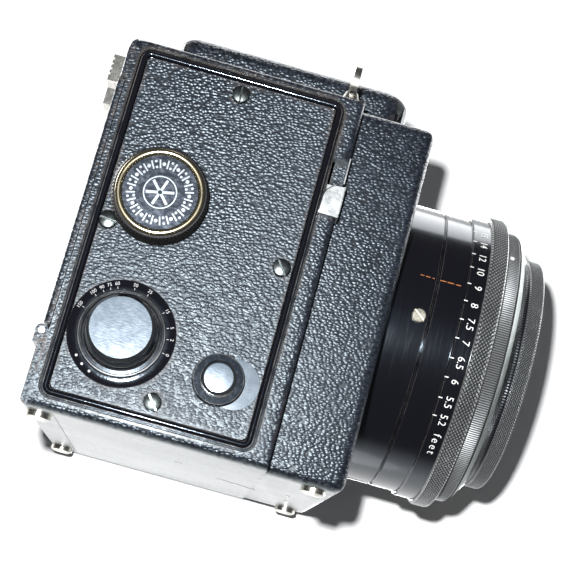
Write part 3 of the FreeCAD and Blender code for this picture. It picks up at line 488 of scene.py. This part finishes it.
class Marks:
    """Gathers small raised marks into one mesh."""

    def __init__(self):
        self.points, self.faces = [], []

    def put(self, points, faces):
        base = len(self.points)
        self.points += points
        self.faces += [tuple(i + base for i in f) for f in faces]

    def bar(self, mapping, width, length, thick=0.05):
        """A bar centred on the mapping's origin, long side along its second direction."""
        points = []
        for v in (-length / 2, length / 2):
            for u, w in ((-width / 2, -thick), (width / 2, -thick), (width / 2, thick), (-width / 2, thick)):
                points.append(mapping(u, v, w))
        self.put(points, ring_faces(2, 4, False) + [(0, 1, 2, 3), (7, 6, 5, 4)])

    def disc(self, mapping, radius, thick=0.05, sides=14):
        points = []
        for w in (-thick, thick):
            for k in range(sides):
                turn = TAU * k / sides
                points.append(mapping(radius * math.cos(turn), radius * math.sin(turn), w))
        faces = [(k, (k + 1) % sides, sides + (k + 1) % sides, sides + k) for k in range(sides)]
        faces += [tuple(range(sides)), tuple(range(sides, 2 * sides))]
        self.put(points, faces)

    def ring(self, mapping_at, radius, width, thick=0.05, steps=48):
        """A flat ring; mapping_at(angle, radius, w) gives a point."""
        points = []
        for k in range(steps):
            for r, w in ((radius - width / 2, -thick), (radius + width / 2, -thick),
                         (radius + width / 2, thick), (radius - width / 2, thick)):
                points.append(mapping_at(TAU * k / steps, r, w))
        self.put(points, ring_faces(steps, 4, True))

    def word(self, mapping, words, size, thick=0.05, spacing=1.0):
        points, faces = text_mesh(words, size, thick, spacing)
        self.put([mapping(*p) for p in points], faces)

    def piece(self, name, material, body, **more):
        return piece(name, self.points, self.faces, material, body, **more)


def on_barrel(radius, along, angle):
    """Mapping for marks on the lens: first direction down round the barrel, second towards the front."""
    def at(u, v, w):
        turn = math.radians(angle) - u / radius
        return on_axis(*LENS, (radius + w) * MM, (along - v) * MM, turn)
    return at


def on_panel(face, centre, angle=0.0):
    """Mapping for marks on a face that looks along -x: first direction -y, second +z, turned by angle."""
    c, s = math.cos(angle), math.sin(angle)
    def at(u, v, w):
        return ((face - w) * MM, (centre[0] - (u * c - v * s)) * MM, (centre[1] + u * s + v * c) * MM)
    return at


def on_base(x, y, angle=0.0):
    """Mapping for marks on the underside of the case."""
    c, s = math.cos(angle), math.sin(angle)
    def at(u, v, w):
        return ((x + u * c - v * s) * MM, (y + u * s + v * c) * MM, (CASE_LOW - w) * MM)
    return at


# ---------------------------------------------------------------- materials on the CAD nodes
ALIASES = {n["node"]: n["material_slot"] for n in frame["record"]["subparts"]}
OWN_FINISH = {
    "rear_frame": LEATHER_WORN,
    "rear_cover": LEATHER_WORN,
    "knob_bead_ring": BRASSY,
    "strap_lug_right": NICKEL,
    "lock_crescent": CRESCENT,
    "mirror_lever": LEVER_NICKEL,
}
for node_name, node in frame["nodes"].items():
    finish = OWN_FINISH.get(node_name, FINISH[ALIASES[node_name]])
    node.data.materials.clear()
    node.data.materials.append(finish)


def rounded(node_name, new_name, body, rules, material, press=None):
    """A copy of a CAD node with some straight edges rounded. A rule is (radius in mm, test); the test gets
    the middle of an edge in mm and its direction, and says whether that edge is rounded. press is
    (y, z, radius) of a quarter round that the upper rear corner is drawn in to."""
    source = frame["nodes"][node_name]
    work = bmesh.new()
    work.from_mesh(source.data)
    bmesh.ops.remove_doubles(work, verts=work.verts, dist=1e-5)
    bmesh.ops.dissolve_limit(work, angle_limit=math.radians(0.5), verts=work.verts, edges=work.edges)
    for radius, test in rules:
        chosen = []
        for edge in work.edges:
            if len(edge.link_faces) != 2 or edge.calc_face_angle(0) < math.radians(60):
                continue
            ends = [v.co / MM for v in edge.verts]
            way = (ends[1] - ends[0]).normalized()
            if test((ends[0] + ends[1]) / 2, way):
                chosen.append(edge)
        if chosen:
            bmesh.ops.bevel(work, geom=chosen, offset=radius * MM, offset_type="OFFSET",
                            segments=max(4, round(2.6 * radius)), profile=0.5,
                            affect="EDGES", clamp_overlap=False)
    if press:
        for place, facing in (((0, press[0] * MM, 0), (0, 1, 0)), ((0, 0, press[1] * MM), (0, 0, 1))):
            whole = work.verts[:] + work.edges[:] + work.faces[:]
            bmesh.ops.bisect_plane(work, geom=whole, dist=1e-7, plane_co=place, plane_no=facing)
        for vert in work.verts:
            out = Vector((0, vert.co.y / MM - press[0], vert.co.z / MM - press[1]))
            if min(out.y, out.z) > 0 and out.length > press[2]:
                out *= press[2] / out.length
                vert.co.y, vert.co.z = (out.y + press[0]) * MM, (out.z + press[1]) * MM
    bmesh.ops.triangulate(work, faces=[f for f in work.faces if len(f.verts) > 4])
    points = [tuple(v.co) for v in work.verts]
    faces = [tuple(v.index for v in f.verts) for f in work.faces]
    work.verts.index_update()
    work.free()
    return piece(new_name, points, faces, material, body, slot=ALIASES[node_name], instead_of=(node_name,),
                 crease=50.0)


def near(a, b):
    return abs(a - b) < 0.06


def along(way, letter):
    return abs(way["xyz".index(letter)]) > 0.99


def edge_of(letter, **places):
    """A test for edges along one axis whose other coordinates are given; x is counted from the middle."""
    def test(middle, way):
        here = {"x": abs(middle.x), "y": middle.y, "z": middle.z}
        return along(way, letter) and all(any(near(here[k], v) for v in at) for k, at in places.items())
    return test


def any_of(*tests):
    return lambda middle, way: any(test(middle, way) for test in tests)


CORNER_PRESS = (RAIL_REAR - REAR_CORNER, CASE_TOP - REAR_CORNER, REAR_CORNER)
rounded("rear_case", "rear_case_leather", "case", (
    (1.9, edge_of("y", x=(CASE_SIDE,), z=(CASE_LOW,))),
    (1.6, edge_of("z", x=(CASE_SIDE,), y=(RIDGE_FACE,))),
    (1.0, edge_of("y", x=(CASE_SIDE,), z=(CASE_TOP,))),
), LEATHER, press=CORNER_PRESS)
rounded("mirror_box_case", "mirror_box_leather", "case", (
    (2.3, any_of(edge_of("x", y=(BOX_FACE,), z=(CASE_TOP, CASE_LOW)),
                 edge_of("z", x=(BOX_SIDE,), y=(BOX_FACE,)),
                 edge_of("y", x=(BOX_SIDE,), z=(CASE_TOP, CASE_LOW)))),
), LEATHER)
rounded("rear_frame", "rear_frame_leather", "case", (
    (1.5, edge_of("x", y=(LEDGE_REAR,), z=(CASE_LOW, LEDGE_TOP))),
    (1.2, edge_of("z", x=(CASE_SIDE,), y=(LEDGE_REAR,))),
    (1.4, edge_of("x", y=(RAIL_REAR,), z=(CASE_TOP,))),
    (0.8, edge_of("z", x=(CASE_SIDE,), y=(RAIL_REAR,))),
), LEATHER_WORN, press=CORNER_PRESS)
rounded("rear_cover", "rear_cover_leather", "cover", (
    (0.8, edge_of("z", x=(COVER_SIDE,), y=(COVER_REAR,))),
    (0.8, edge_of("x", y=(COVER_REAR,), z=(COVER_TOP,))),
), LEATHER_WORN)


# ---------------------------------------------------------------- control panel border
def frame_loop(low, high, corner, inset, steps=8):
    """A rounded rectangle in the panel's plane, as (y, z) in millimetres."""
    r = max(corner - inset, 0.15)
    near_y, far_y = low[0] + inset + r, high[0] - inset - r
    near_z, far_z = low[1] + inset + r, high[1] - inset - r
    loop = []
    turns = ((far_y, far_z, 0), (near_y, far_z, 90), (near_y, near_z, 180), (far_y, near_z, 270))
    for side_y, side_z, start in turns:
        for k in range(steps + 1):
            turn = math.radians(start + 90 * k / steps)
            loop.append((side_y + r * math.cos(turn), side_z + r * math.sin(turn)))
    return loop


def swept_border(name, low, high, corner, profile, material, body, **more):
    """A profile of (inset, x) pairs carried round a rounded rectangle."""
    points = []
    for inset, face in profile:
        loop = frame_loop(low, high, corner, inset)
        points += [(face * MM, y * MM, z * MM) for y, z in loop]
    return piece(name, points, ring_faces(len(profile), len(loop), True), material, body, **more)


BEAD_ARCS = 8
BEAD_MIDDLE, BEAD_HALF, BEAD_FOOT, BEAD_RISE = 1.55, 0.6, -49.75, 0.62
BEAD_TURNS = [math.pi * k / BEAD_ARCS for k in range(BEAD_ARCS + 1)]
BEAD = [(BEAD_MIDDLE - BEAD_HALF * math.cos(t), BEAD_FOOT - BEAD_RISE * math.sin(t)) for t in BEAD_TURNS]
GROOVE, PLATE_BACK, SKIN_BED = -49.35, -48.9, -49.3
swept_border("panel_border", PANEL_LOW, PANEL_HIGH, PANEL_CORNER,
             [(0.03, PLATE_BACK), (0.03, BEAD_FOOT), (0.25, GROOVE), (0.85, GROOVE)] + BEAD
             + [(2.25, GROOVE), (2.4, SKIN_BED), (3.6, SKIN_BED), (3.6, PLATE_BACK)],
             ENAMEL, "case", slot="black_enamel", instead_of=("side_panel",), crease=40.0)

# ---------------------------------------------------------------- lens
RING_ENAMEL = enamel("ring_enamel", rough=0.16, turned=(0.08, 1.0, 0.08))
CONE_GREY = metal("cone_grey", (0.20, 0.225, 0.22), 0.34, dark=0.8)
lathe("flange_sleeve", LENS,
      [(BORE, BOX_FACE), (BAND - 0.3, BOX_FACE), (BAND, BOX_FACE - 0.3), (BAND, FLANGE_FRONT + 0.4),
       (BAND - 0.4, FLANGE_FRONT), (BORE, FLANGE_FRONT)],
      RING_ENAMEL, "case", steps=192, slot="black_enamel", instead_of=("lens_flange",))
INDEX_BACK = FLANGE_FRONT - 0.06
lathe("index_sleeve", LENS,
      [(BORE, INDEX_BACK), (BAND - 0.4, INDEX_BACK), (BAND, INDEX_BACK - 0.39), (BAND, INDEX_FRONT),
       (BORE, INDEX_FRONT)],
      RING_ENAMEL, "case", steps=192, slot="black_enamel", instead_of=("index_ring",))
SCALE_BACK, SCALE_BORE = -53.3, 34.86
lathe("distance_sleeve", LENS,
      [(SCALE_BORE, SCALE_BACK), (SCALE - 0.35, SCALE_BACK), (SCALE, SCALE_BACK - 0.3), (SCALE, SCALE_FRONT),
       (SCALE_BORE, SCALE_FRONT)],
      RING_ENAMEL, "focus", steps=192, slot="black_enamel", instead_of=("distance_ring",))
lathe("cone_band", LENS, [(31.5, -65.8), (33.6, -65.74), (33.85, -65.8), (31.75, -67.2), (31.4, -67.2)],
      CONE_GREY, "barrel", steps=192, slot="blackened_brass")
lathe("cone_recess", LENS,
      [(31.4, -67.1), (31.75, -67.21), (30.9, -67.75), (29.9, -68.35), (29.1, -68.85), (28.6, -69.3),
       (28.4, RIM_BACK), (28.25, RIM_BACK), (28.25, -68.3)],
      enamel("recess_enamel", rough=0.12, wear=0.15), "barrel", steps=192, slot="black_enamel")
lathe("front_retainer", LENS,
      [(26.05, -69.2), (26.05, -71.9), (25.7, -72.2), (24.7, -71.4), (24.6, -70.3), (25.2, -69.2)],
      ENAMEL, "barrel", steps=144, slot="black_enamel")
GRIP_METAL = knurl_metal("grip_knurl", (0.022, 0.024, 0.028), (0.88, 0.90, 0.90), 0.28, 0.15)
STOP_METAL = knurl_metal("stop_knurl", (0.03, 0.03, 0.032), (0.66, 0.69, 0.70), 0.3, 0.15)
RIM_METAL = knurl_metal("rim_knurl", (0.035, 0.037, 0.04), (0.66, 0.68, 0.69), 0.3, 0.15)
knurled("focusing_grip", LENS, GRIP, 0.45, (GRIP_FRONT, SCALE_FRONT), 34.87, 216, 8, GRIP_METAL, "focus",
        slot="blackened_brass", instead_of=("focusing_grip_ring",))
knurled("front_rim_grip", LENS, RIM, 0.3, (RIM_FRONT, RIM_BACK), 26.1, 250, 10, RIM_METAL, "barrel",
        slot="blackened_brass", instead_of=("front_rim",))
knurled("aperture_grip", LENS, STOP, 0.22, (-65.6, -62.3), BORE + 0.05, 380, 2, STOP_METAL, "stop",
        straight=True, slot="blackened_brass", instead_of=("aperture_ring",))

lathe("grip_web", LENS, [(BORE, -61.4), (34.9, -61.4), (34.9, -61.95), (BORE, -61.95)],
      BLACKENED, "focus", steps=96, slot="blackened_brass")

scale = Marks()
FEET_MARKS = (
    (49.5, "15"), (42.1, "14"), (34.3, "12"), (27.2, "10"), (19.5, "9"), (12.1, "8"), (4.7, "7.5"),
    (-2.5, "7"), (-10.0, "6.5"), (-17.2, "6"), (-25.1, "5.5"), (-32.3, "5.2"),
)
TICK_AT, FIGURE_AT, FIGURE_SIZE, UNIT_ANGLE = -53.85, -55.95, 2.45, -44.3
for angle, words in FEET_MARKS:
    scale.bar(on_barrel(SCALE, TICK_AT, angle), 0.22, 0.9)
    scale.word(on_barrel(SCALE, FIGURE_AT, angle - 1.1), words, FIGURE_SIZE)
scale.word(on_barrel(SCALE, FIGURE_AT, UNIT_ANGLE), "feet", 2.7, spacing=1.45)
scale.piece("distance_marks", WHITE, "focus")

index = Marks()
INDEX_ANGLE = 18.2
INDEX_DASHES = ((-43.0, 0.9, 0.15), (-44.4, 1.0, 0.15), (-45.7, 0.5, 0.15),
                (-48.0, 1.4, 0.19), (-49.8, 1.5, 0.19), (-51.6, 1.2, 0.19))
for place, length, width in INDEX_DASHES:
    index.bar(on_barrel(BAND, place, INDEX_ANGLE), width, length, 0.03)
index.piece("index_line", ORANGE, "case")
dot = Marks()
dot.disc(on_barrel(34.25, -63.4, 40.8), 0.55, 0.12)
dot.piece("aperture_dot", WHITE, "stop")


def slotted_head(marks, mapping, radius, slot, low, high, turn=0.0, sides=28):
    """A domed screw head with a straight slot: a low disc with two raised halves."""
    c, s = math.cos(turn), math.sin(turn)

    def level(points, w):
        return [mapping(u * c - v * s, u * s + v * c, w) for u, v in points]

    circle = [(radius * math.cos(TAU * k / sides), radius * math.sin(TAU * k / sides)) for k in range(sides)]
    floor = (low + high) / 2
    marks.put(level(circle, low) + level(circle, floor),
              [(k, (k + 1) % sides, sides + (k + 1) % sides, sides + k) for k in range(sides)]
              + [tuple(range(sides)), tuple(range(sides, 2 * sides))])
    reach = math.asin(slot / 2 / radius)
    for side in (1, -1):
        rim, inner = [], []
        for k in range(sides // 2 + 1):
            a = reach + (math.pi - 2 * reach) * k / (sides // 2)
            rim.append((radius * math.cos(a), side * radius * math.sin(a)))
            small = 0.86 * radius
            inner.append((small * math.cos(a), side * max(small * math.sin(a), slot / 2)))
        n = len(rim)
        faces = [(k, (k + 1) % n, n + (k + 1) % n, n + k) for k in range(n)]
        faces += [(n + k, n + (k + 1) % n, 2 * n + (k + 1) % n, 2 * n + k) for k in range(n)]
        faces += [tuple(range(n)), tuple(range(2 * n, 3 * n))]
        marks.put(level(rim, floor - 0.02) + level(rim, high - 0.15) + level(inner, high), faces)


guides = Marks()
for k in range(3):
    slotted_head(guides, on_barrel(BAND, -44.3, 2 + 120 * k), 1.7, 0.45, -0.05, 0.3, turn=0.9 + k)
GUIDE_METAL = metal("guide_screw_nickel", (0.66, 0.63, 0.52), 0.24, stain=0.3)
guides.piece("guide_screws", GUIDE_METAL, "case", slot="nickel", instead_of=("flange_screws",))

# ---------------------------------------------------------------- winding knob
KNOB = ("x", tuple(v * MM for v in KNOB_AT))
KNOB_METAL = knurl_metal("knob_knurl", (0.006, 0.006, 0.007), (0.13, 0.125, 0.115), 0.3)
knurled("knob_skirt", KNOB, KNOB_RADIUS, 0.3, (-56.2, -50.5), 1.6, 78, 9, KNOB_METAL, "winding",
        chamfer=0.5, slot="blackened_brass", instead_of=("winding_knob",))
plate = Marks()
STROKES = 24
STROKE_RING, ROSETTE_RING, SPOKES = 6.25, 3.5, 6


def plate_spot(turn, radius):
    """A point on the knob's plate, as (y, z) in millimetres."""
    return (KNOB_AT[0] - radius * math.cos(turn), KNOB_AT[1] + radius * math.sin(turn))


def knob_ring(angle, radius, w):
    return on_panel(KNOB_FACE, KNOB_AT)(radius * math.cos(angle), radius * math.sin(angle), w)


for k in range(STROKES):
    turn = TAU * k / STROKES
    plate.bar(on_panel(KNOB_FACE, plate_spot(turn, STROKE_RING), turn - math.pi / 2), 0.34, 1.9, 0.05)
    for radius in ((5.6, 6.9) if k % 2 else (STROKE_RING,)):
        spot = plate_spot(turn + TAU / 2 / STROKES, radius)
        plate.disc(on_panel(KNOB_FACE, spot), 0.3 if k % 2 else 0.42, 0.05, 10)
plate.ring(knob_ring, ROSETTE_RING, 0.28)
for k in range(SPOKES):
    turn = TAU * (k + 0.2) / SPOKES
    plate.bar(on_panel(KNOB_FACE, plate_spot(turn, ROSETTE_RING / 2), turn - math.pi / 2), 0.6, 2.6, 0.05)
PLATE_MARK = metal("plate_engraving", (0.36, 0.39, 0.42), 0.36, stain=0.8)
plate.piece("knob_ornament", PLATE_MARK, "winding")

BUTTON = ("x", tuple(v * MM for v in BUTTON_AT))
lathe("button_crown", BUTTON,
      [(0, -53.8), (3.64, -53.8), (BUTTON_RADIUS, -54.05), (3.48, -54.3), (3.3, -54.4), (3.15, -54.45),
       (3.0, -54.46), (0, -54.46)],
      SATIN, "button", slot="satin_silver")

# The coil behind the button, which on the camera shortens as the button goes in, gets its own copy of the
# mesh on the case body; nothing here shortens it.
coil = rounded("release_spring", "release_coil", "case", (), BRIGHT_STEEL)
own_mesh(coil)

# ---------------------------------------------------------------- speed dial
DIAL = ("x", tuple(v * MM for v in DIAL_AT))
lathe("speed_disc", DIAL,
      [(9.5, -49.6), (DIAL_RADIUS, -49.6), (DIAL_RADIUS, -50.45), (DIAL_RADIUS - 0.25, -50.6), (9.5, -50.6),
       (9.3, -50.3), (7.6, -50.3), (7.3, -49.9), (3.0, -49.9), (3.0, -49.6)],
      enamel("dial_enamel", rough=0.09, wear=0.25), "case", slot="black_enamel",
      instead_of=("speed_scale_disc",))
lathe("speed_lip", DIAL, [(8.85, -50.25), (8.9, -50.7), (9.05, -50.8), (9.25, -50.75), (9.35, -50.25)],
      metal("lip_steel", (0.36, 0.38, 0.40), 0.25), "case", slot="nickel")
lathe("speed_step", DIAL,
      [(7.25, -49.95), (7.3, -52.2), (7.6, -52.3), (7.9, -51.9), (8.1, -50.6), (8.8, -50.5), (8.8, -50.35)],
      enamel("step_black", rough=0.2, wear=0.4), "case", slot="steel")
dial = Marks()
DIAL_MARKS = (
    (160.6, "150"), (139.6, "100"), (128.6, "90"), (119.6, "75"), (110.6, "60"), (89.6, "50"), (71.6, "25"),
    (41.6, "15"), (21.6, "5"), (7.6, "2"), (-10.4, "0"),
)
TICK_RING, NUMBER_RING, DOT_RING = 9.85, 10.75, 10.5


def on_dial(radius, turn, angle=0.0):
    centre = (DIAL_AT[0] - radius * math.cos(turn), DIAL_AT[1] + radius * math.sin(turn))
    return on_panel(DIAL_FACE, centre, angle)


for angle, words in DIAL_MARKS:
    turn = math.radians(angle)
    dial.bar(on_dial(TICK_RING, turn, turn - math.pi / 2), 0.10, 0.5, 0.03)
    dial.word(on_dial(NUMBER_RING, turn, turn - math.pi / 2), words, 1.05, 0.03)
for angle in (-138, -126, -114):
    dial.disc(on_dial(DOT_RING, math.radians(angle)), 0.28, 0.03)
dial.piece("speed_marks", GREY_FILL, "case")

# ---------------------------------------------------------------- mirror lever
def rounded_plate(low, high, corner, steps=6):
    """A rectangle in (y, z) millimetres whose upper rear corner is rounded."""
    loop = [(low[0], low[1]), (high[0], low[1])]
    for k in range(steps + 1):
        turn = math.pi / 2 * k / steps
        loop.append((high[0] - corner * (1 - math.cos(turn)), high[1] - corner * (1 - math.sin(turn))))
    loop.append((low[0], high[1]))
    return loop


def slab(loop, back, face, edge=0.25):
    """Points and faces of a plate looking along -x, with a chamfered face. The loop is (y, z) in mm."""
    middle = (sum(p[0] for p in loop) / len(loop), sum(p[1] for p in loop) / len(loop))
    shrunk = []
    for y, z in loop:
        step = Vector((middle[0] - y, middle[1] - z)).normalized() * edge
        shrunk.append((y + step.x, z + step.y))
    points = []
    for outline, x in ((loop, back), (loop, face + edge), (shrunk, face)):
        points += [(x * MM, y * MM, z * MM) for y, z in outline]
    n = len(loop)
    return points, ring_faces(3, n, False) + [tuple(range(n)), tuple(range(2 * n, 3 * n))]


tab = Marks()
tab.put(*slab(rounded_plate((-20.1, 58.5), (-15.6, 65.4), 3.2), -50.1, -51.0))
tab.put(*slab(rounded_plate((-20.1, 58.1), (-15.4, 59.0), 0.3), -50.1, -51.5, 0.15))
tab.put(*slab(rounded_plate((-20.15, 58.2), (-19.75, 65.5), 0.1), -45.6, -50.8, 0.1))
tab.piece("lever_tab", LEVER_NICKEL, "lever", slot="nickel")
strip = Marks()
strip.put(*slab(rounded_plate((-19.66, 66.2), (-19.38, 72.3), 0.05), -45.2, -50.0, 0.05))
strip.piece("lever_guide", LEVER_NICKEL, "case", slot="nickel")
heads = Marks()
for spot, turn in zip(PANEL_SCREW_AT, (1.5, 0.9, 0.1, 0.95)):
    slotted_head(heads, on_panel(-CASE_SIDE, spot), 1.9, 0.42, -0.42, 0.62, turn=-turn)
heads.piece("panel_screw_heads", SCREW_NICKEL, "case", slot="nickel", instead_of=("panel_screws",))

# ---------------------------------------------------------------- marks on the base
SLOT_AT, HOLE_AT = (6.2, -15.5), (-9.9, -0.6)
base_marks = Marks()
base_marks.bar(on_base(*SLOT_AT, 0.36), 1.1, 10.2, 0.06)
base_marks.disc(on_base(*SLOT_AT), 1.2, 0.07, 20)
base_marks.disc(on_base(*HOLE_AT), 1.0, 0.06, 20)
for x, y in ((-1.8, -28.2), (14.5, -29.0)):
    base_marks.disc(on_base(x, y), 0.45, 0.05, 12)
base_marks.piece("base_catch_slot", ENAMEL, "case")

# ---------------------------------------------------------------- folded hood and curtain
def bellows(name, low, high, base, top, folds, window, corner, material, body, **more):
    """Stacked leather folds round a rectangular window. Lengths in millimetres."""
    rows = []
    for k in range(2 * folds + 1):
        inset = 0.0 if k % 2 else 1.1
        rows.append((inset, base + (top - base) * k / (2 * folds)))
    rows += [(2.4, top + 0.25), (5.0, top + 0.35), (window - 0.8, top + 0.1), (window, top - 0.5),
             (window, base)]
    points = []
    for inset, z in rows:
        loop = frame_loop(low, high, corner, inset)
        for a, b in loop:
            ripple = 0.1 * math.sin(0.35 * a + 0.2 * b) + 0.12 * math.sin(7.0 * z)
            points.append((a * MM, b * MM, (z + ripple) * MM))
    return piece(name, points, ring_faces(len(rows), len(loop), True), material, body, crease=60.0, **more)


bellows("hood_bellows", (-26.6, -21.8), (26.6, 27.4), 87.6, 93.9, 4, 9.0, 4.0, HOOD_LEATHER, "case",
        slot="hood_leather", instead_of=("folded_hood_leather",))


SLIT_LOW, SLIT_HIGH, HEM = 46.0, 49.0, 1.6
ROWS, COLUMNS = 14, 24


def curtain():
    """The shutter cloth between its rollers, with a slit between two hems, bowed by a fraction of a mm."""
    low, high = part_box("shutter_curtain")
    x0, x1 = low.x / MM, high.x / MM
    z0, z1 = low.z / MM, high.z / MM
    middle = (low.y + high.y) / 2 / MM
    levels = [z0 + (SLIT_LOW - z0) * k / ROWS for k in range(ROWS + 1)]
    levels += [SLIT_HIGH + (z1 - SLIT_HIGH) * k / ROWS for k in range(ROWS + 1)]
    across = [x0 + (x1 - x0) * k / COLUMNS for k in range(COLUMNS + 1)]
    points, faces, index = [], [], {}
    for j, z in enumerate(levels):
        hem = 0.1 if SLIT_LOW - HEM < z < SLIT_HIGH + HEM else 0.0
        for i, x in enumerate(across):
            bow = 0.10 * math.sin(0.21 * x + 0.4) * math.sin(0.13 * z) - 0.02
            for side in (-1, 1):
                index[i, j, side] = len(points)
                points.append((x * MM, (middle + bow + side * (0.12 + hem)) * MM, z * MM))

    def cloth_at(i, j):
        inside = 0 <= i < COLUMNS and 0 <= j < 2 * ROWS + 1
        return inside and not (j == ROWS and 0 < i < COLUMNS - 1)

    for j in range(2 * ROWS + 1):
        for i in range(COLUMNS):
            if not cloth_at(i, j):
                continue
            for side in (-1, 1):
                corners = ((i, j), (i + 1, j), (i + 1, j + 1), (i, j + 1))
                faces.append(tuple(index[a, b, side] for a, b in corners))
            for a, b, there in (((i, j), (i + 1, j), (i, j - 1)), ((i, j + 1), (i + 1, j + 1), (i, j + 1)),
                                ((i, j), (i, j + 1), (i - 1, j)), ((i + 1, j), (i + 1, j + 1), (i + 1, j))):
                if not cloth_at(*there):
                    faces.append((index[*a, -1], index[*b, -1], index[*b, 1], index[*a, 1]))
    return piece("curtain_cloth_sheet", points, faces, CURTAIN, "case", slot="curtain_cloth",
                 instead_of=("shutter_curtain",), crease=50.0)


cloth_sheet = curtain()

# ---------------------------------------------------------------- camera, table and light
camera_data = bpy.data.cameras.new("view")
camera_data.lens = 96.0
camera_data.sensor_width = 36.0
camera_data.clip_start, camera_data.clip_end = 0.01, 10.0
camera = bpy.data.objects.new("view", camera_data)
bpy.context.scene.collection.objects.link(camera)
right = Vector((-0.079, -0.9629, 0.258)).normalized()
forward = Vector((0.9773, -0.0237, 0.2107)).normalized()
up = right.cross(forward).normalized()
forward = up.cross(right).normalized()
turned = Matrix((right, up, -forward)).transposed().to_4x4()
camera.matrix_world = Matrix.Translation((-0.3695, -0.00515, -0.0279)) @ turned
bpy.context.scene.camera = camera

TABLE_X = 0.0502
table_mesh = bpy.data.meshes.new("table")
reach = 1.2
outline = ((-reach, -reach), (-reach, reach), (reach, reach), (reach, -reach))
table_mesh.from_pydata([(TABLE_X, y, z) for y, z in outline], [], [(0, 1, 2, 3)])
table = bpy.data.objects.new("table", table_mesh)
bpy.context.scene.collection.objects.link(table)
white = Paint("table_white")
white.set(base_color=white.mix(white.noise(30, 3.0), (0.86, 0.86, 0.86), (0.9, 0.9, 0.9)), roughness=0.55)
# Seen from behind, the table is clear, so that every side of the object can be looked at.
clear = white.add("ShaderNodeBsdfTransparent")
both = white.add("ShaderNodeMixShader")
white.feed(both.inputs[0], white.add("ShaderNodeNewGeometry").outputs["Backfacing"])
white.tree.links.new(white.shader.outputs[0], both.inputs[1])
white.tree.links.new(clear.outputs[0], both.inputs[2])
white.tree.links.new(both.outputs[0], white.tree.nodes["Material Output"].inputs["Surface"])
table_mesh.materials.append(white.material)
if table_mesh.polygons[0].normal.x > 0:
    table_mesh.flip_normals()


def area_light(name, position, target, size, watts, colour=(1, 1, 1), shape="DISK"):
    data = bpy.data.lights.new(name, "AREA")
    data.shape = shape
    data.size = size
    data.energy = watts
    data.color = colour
    lamp = bpy.data.objects.new(name, data)
    lamp.location = position
    lamp.rotation_mode = "QUATERNION"
    lamp.rotation_quaternion = (Vector(target) - Vector(position)).to_track_quat("-Z", "Y")
    bpy.context.scene.collection.objects.link(lamp)
    return lamp


MIDDLE = (0.0, 0.0, 0.045)
area_light("key", (-0.3749, 0.0190, 0.0), MIDDLE, 0.012, 2.8, (0.98, 0.99, 1.0))
area_light("sky", (-1.0, 0.04, 0.15), MIDDLE, 0.34, 0.16, (0.60, 0.8, 1.0), "SQUARE")
# These stand behind the table, which doesn't shade them.
see_through = bpy.data.collections.new("table_for_fills")
see_through.objects.link(table)
for name, position, watts in (("rear_fill", (0.45, 0.6, 0.35), 7.0), ("front_fill", (0.40, -0.65, 0.3), 3.5),
                              ("top_fill", (0.30, 0.0, 0.75), 2.5), ("side_fill", (0.75, -0.1, 0.25), 8.0),
                              ("low_fill", (0.35, 0.1, -0.6), 0.9)):
    lamp = area_light(name, position, (0.0, 0.0, 0.04), 0.5, watts)
    lamp.light_linking.blocker_collection = see_through
see_through.collection_objects[0].light_linking.link_state = "EXCLUDE"

world = bpy.data.worlds.new("pale")
world.use_nodes = True
sky = world.node_tree
seen = sky.nodes["Background"]
seen.inputs[0].default_value = (0.86, 0.88, 0.9, 1.0)
seen.inputs[1].default_value = 1.0
given = sky.nodes.new("ShaderNodeBackground")
given.inputs[0].default_value = (0.97, 0.94, 0.92, 1.0)
given.inputs[1].default_value = 0.08
either = sky.nodes.new("ShaderNodeMixShader")
sky.links.new(sky.nodes.new("ShaderNodeLightPath").outputs["Is Camera Ray"], either.inputs[0])
sky.links.new(given.outputs[0], either.inputs[1])
sky.links.new(seen.outputs[0], either.inputs[2])
sky.links.new(either.outputs[0], sky.nodes["World Output"].inputs["Surface"])
bpy.context.scene.world = world
bpy.context.scene.view_settings.view_transform = "Standard"
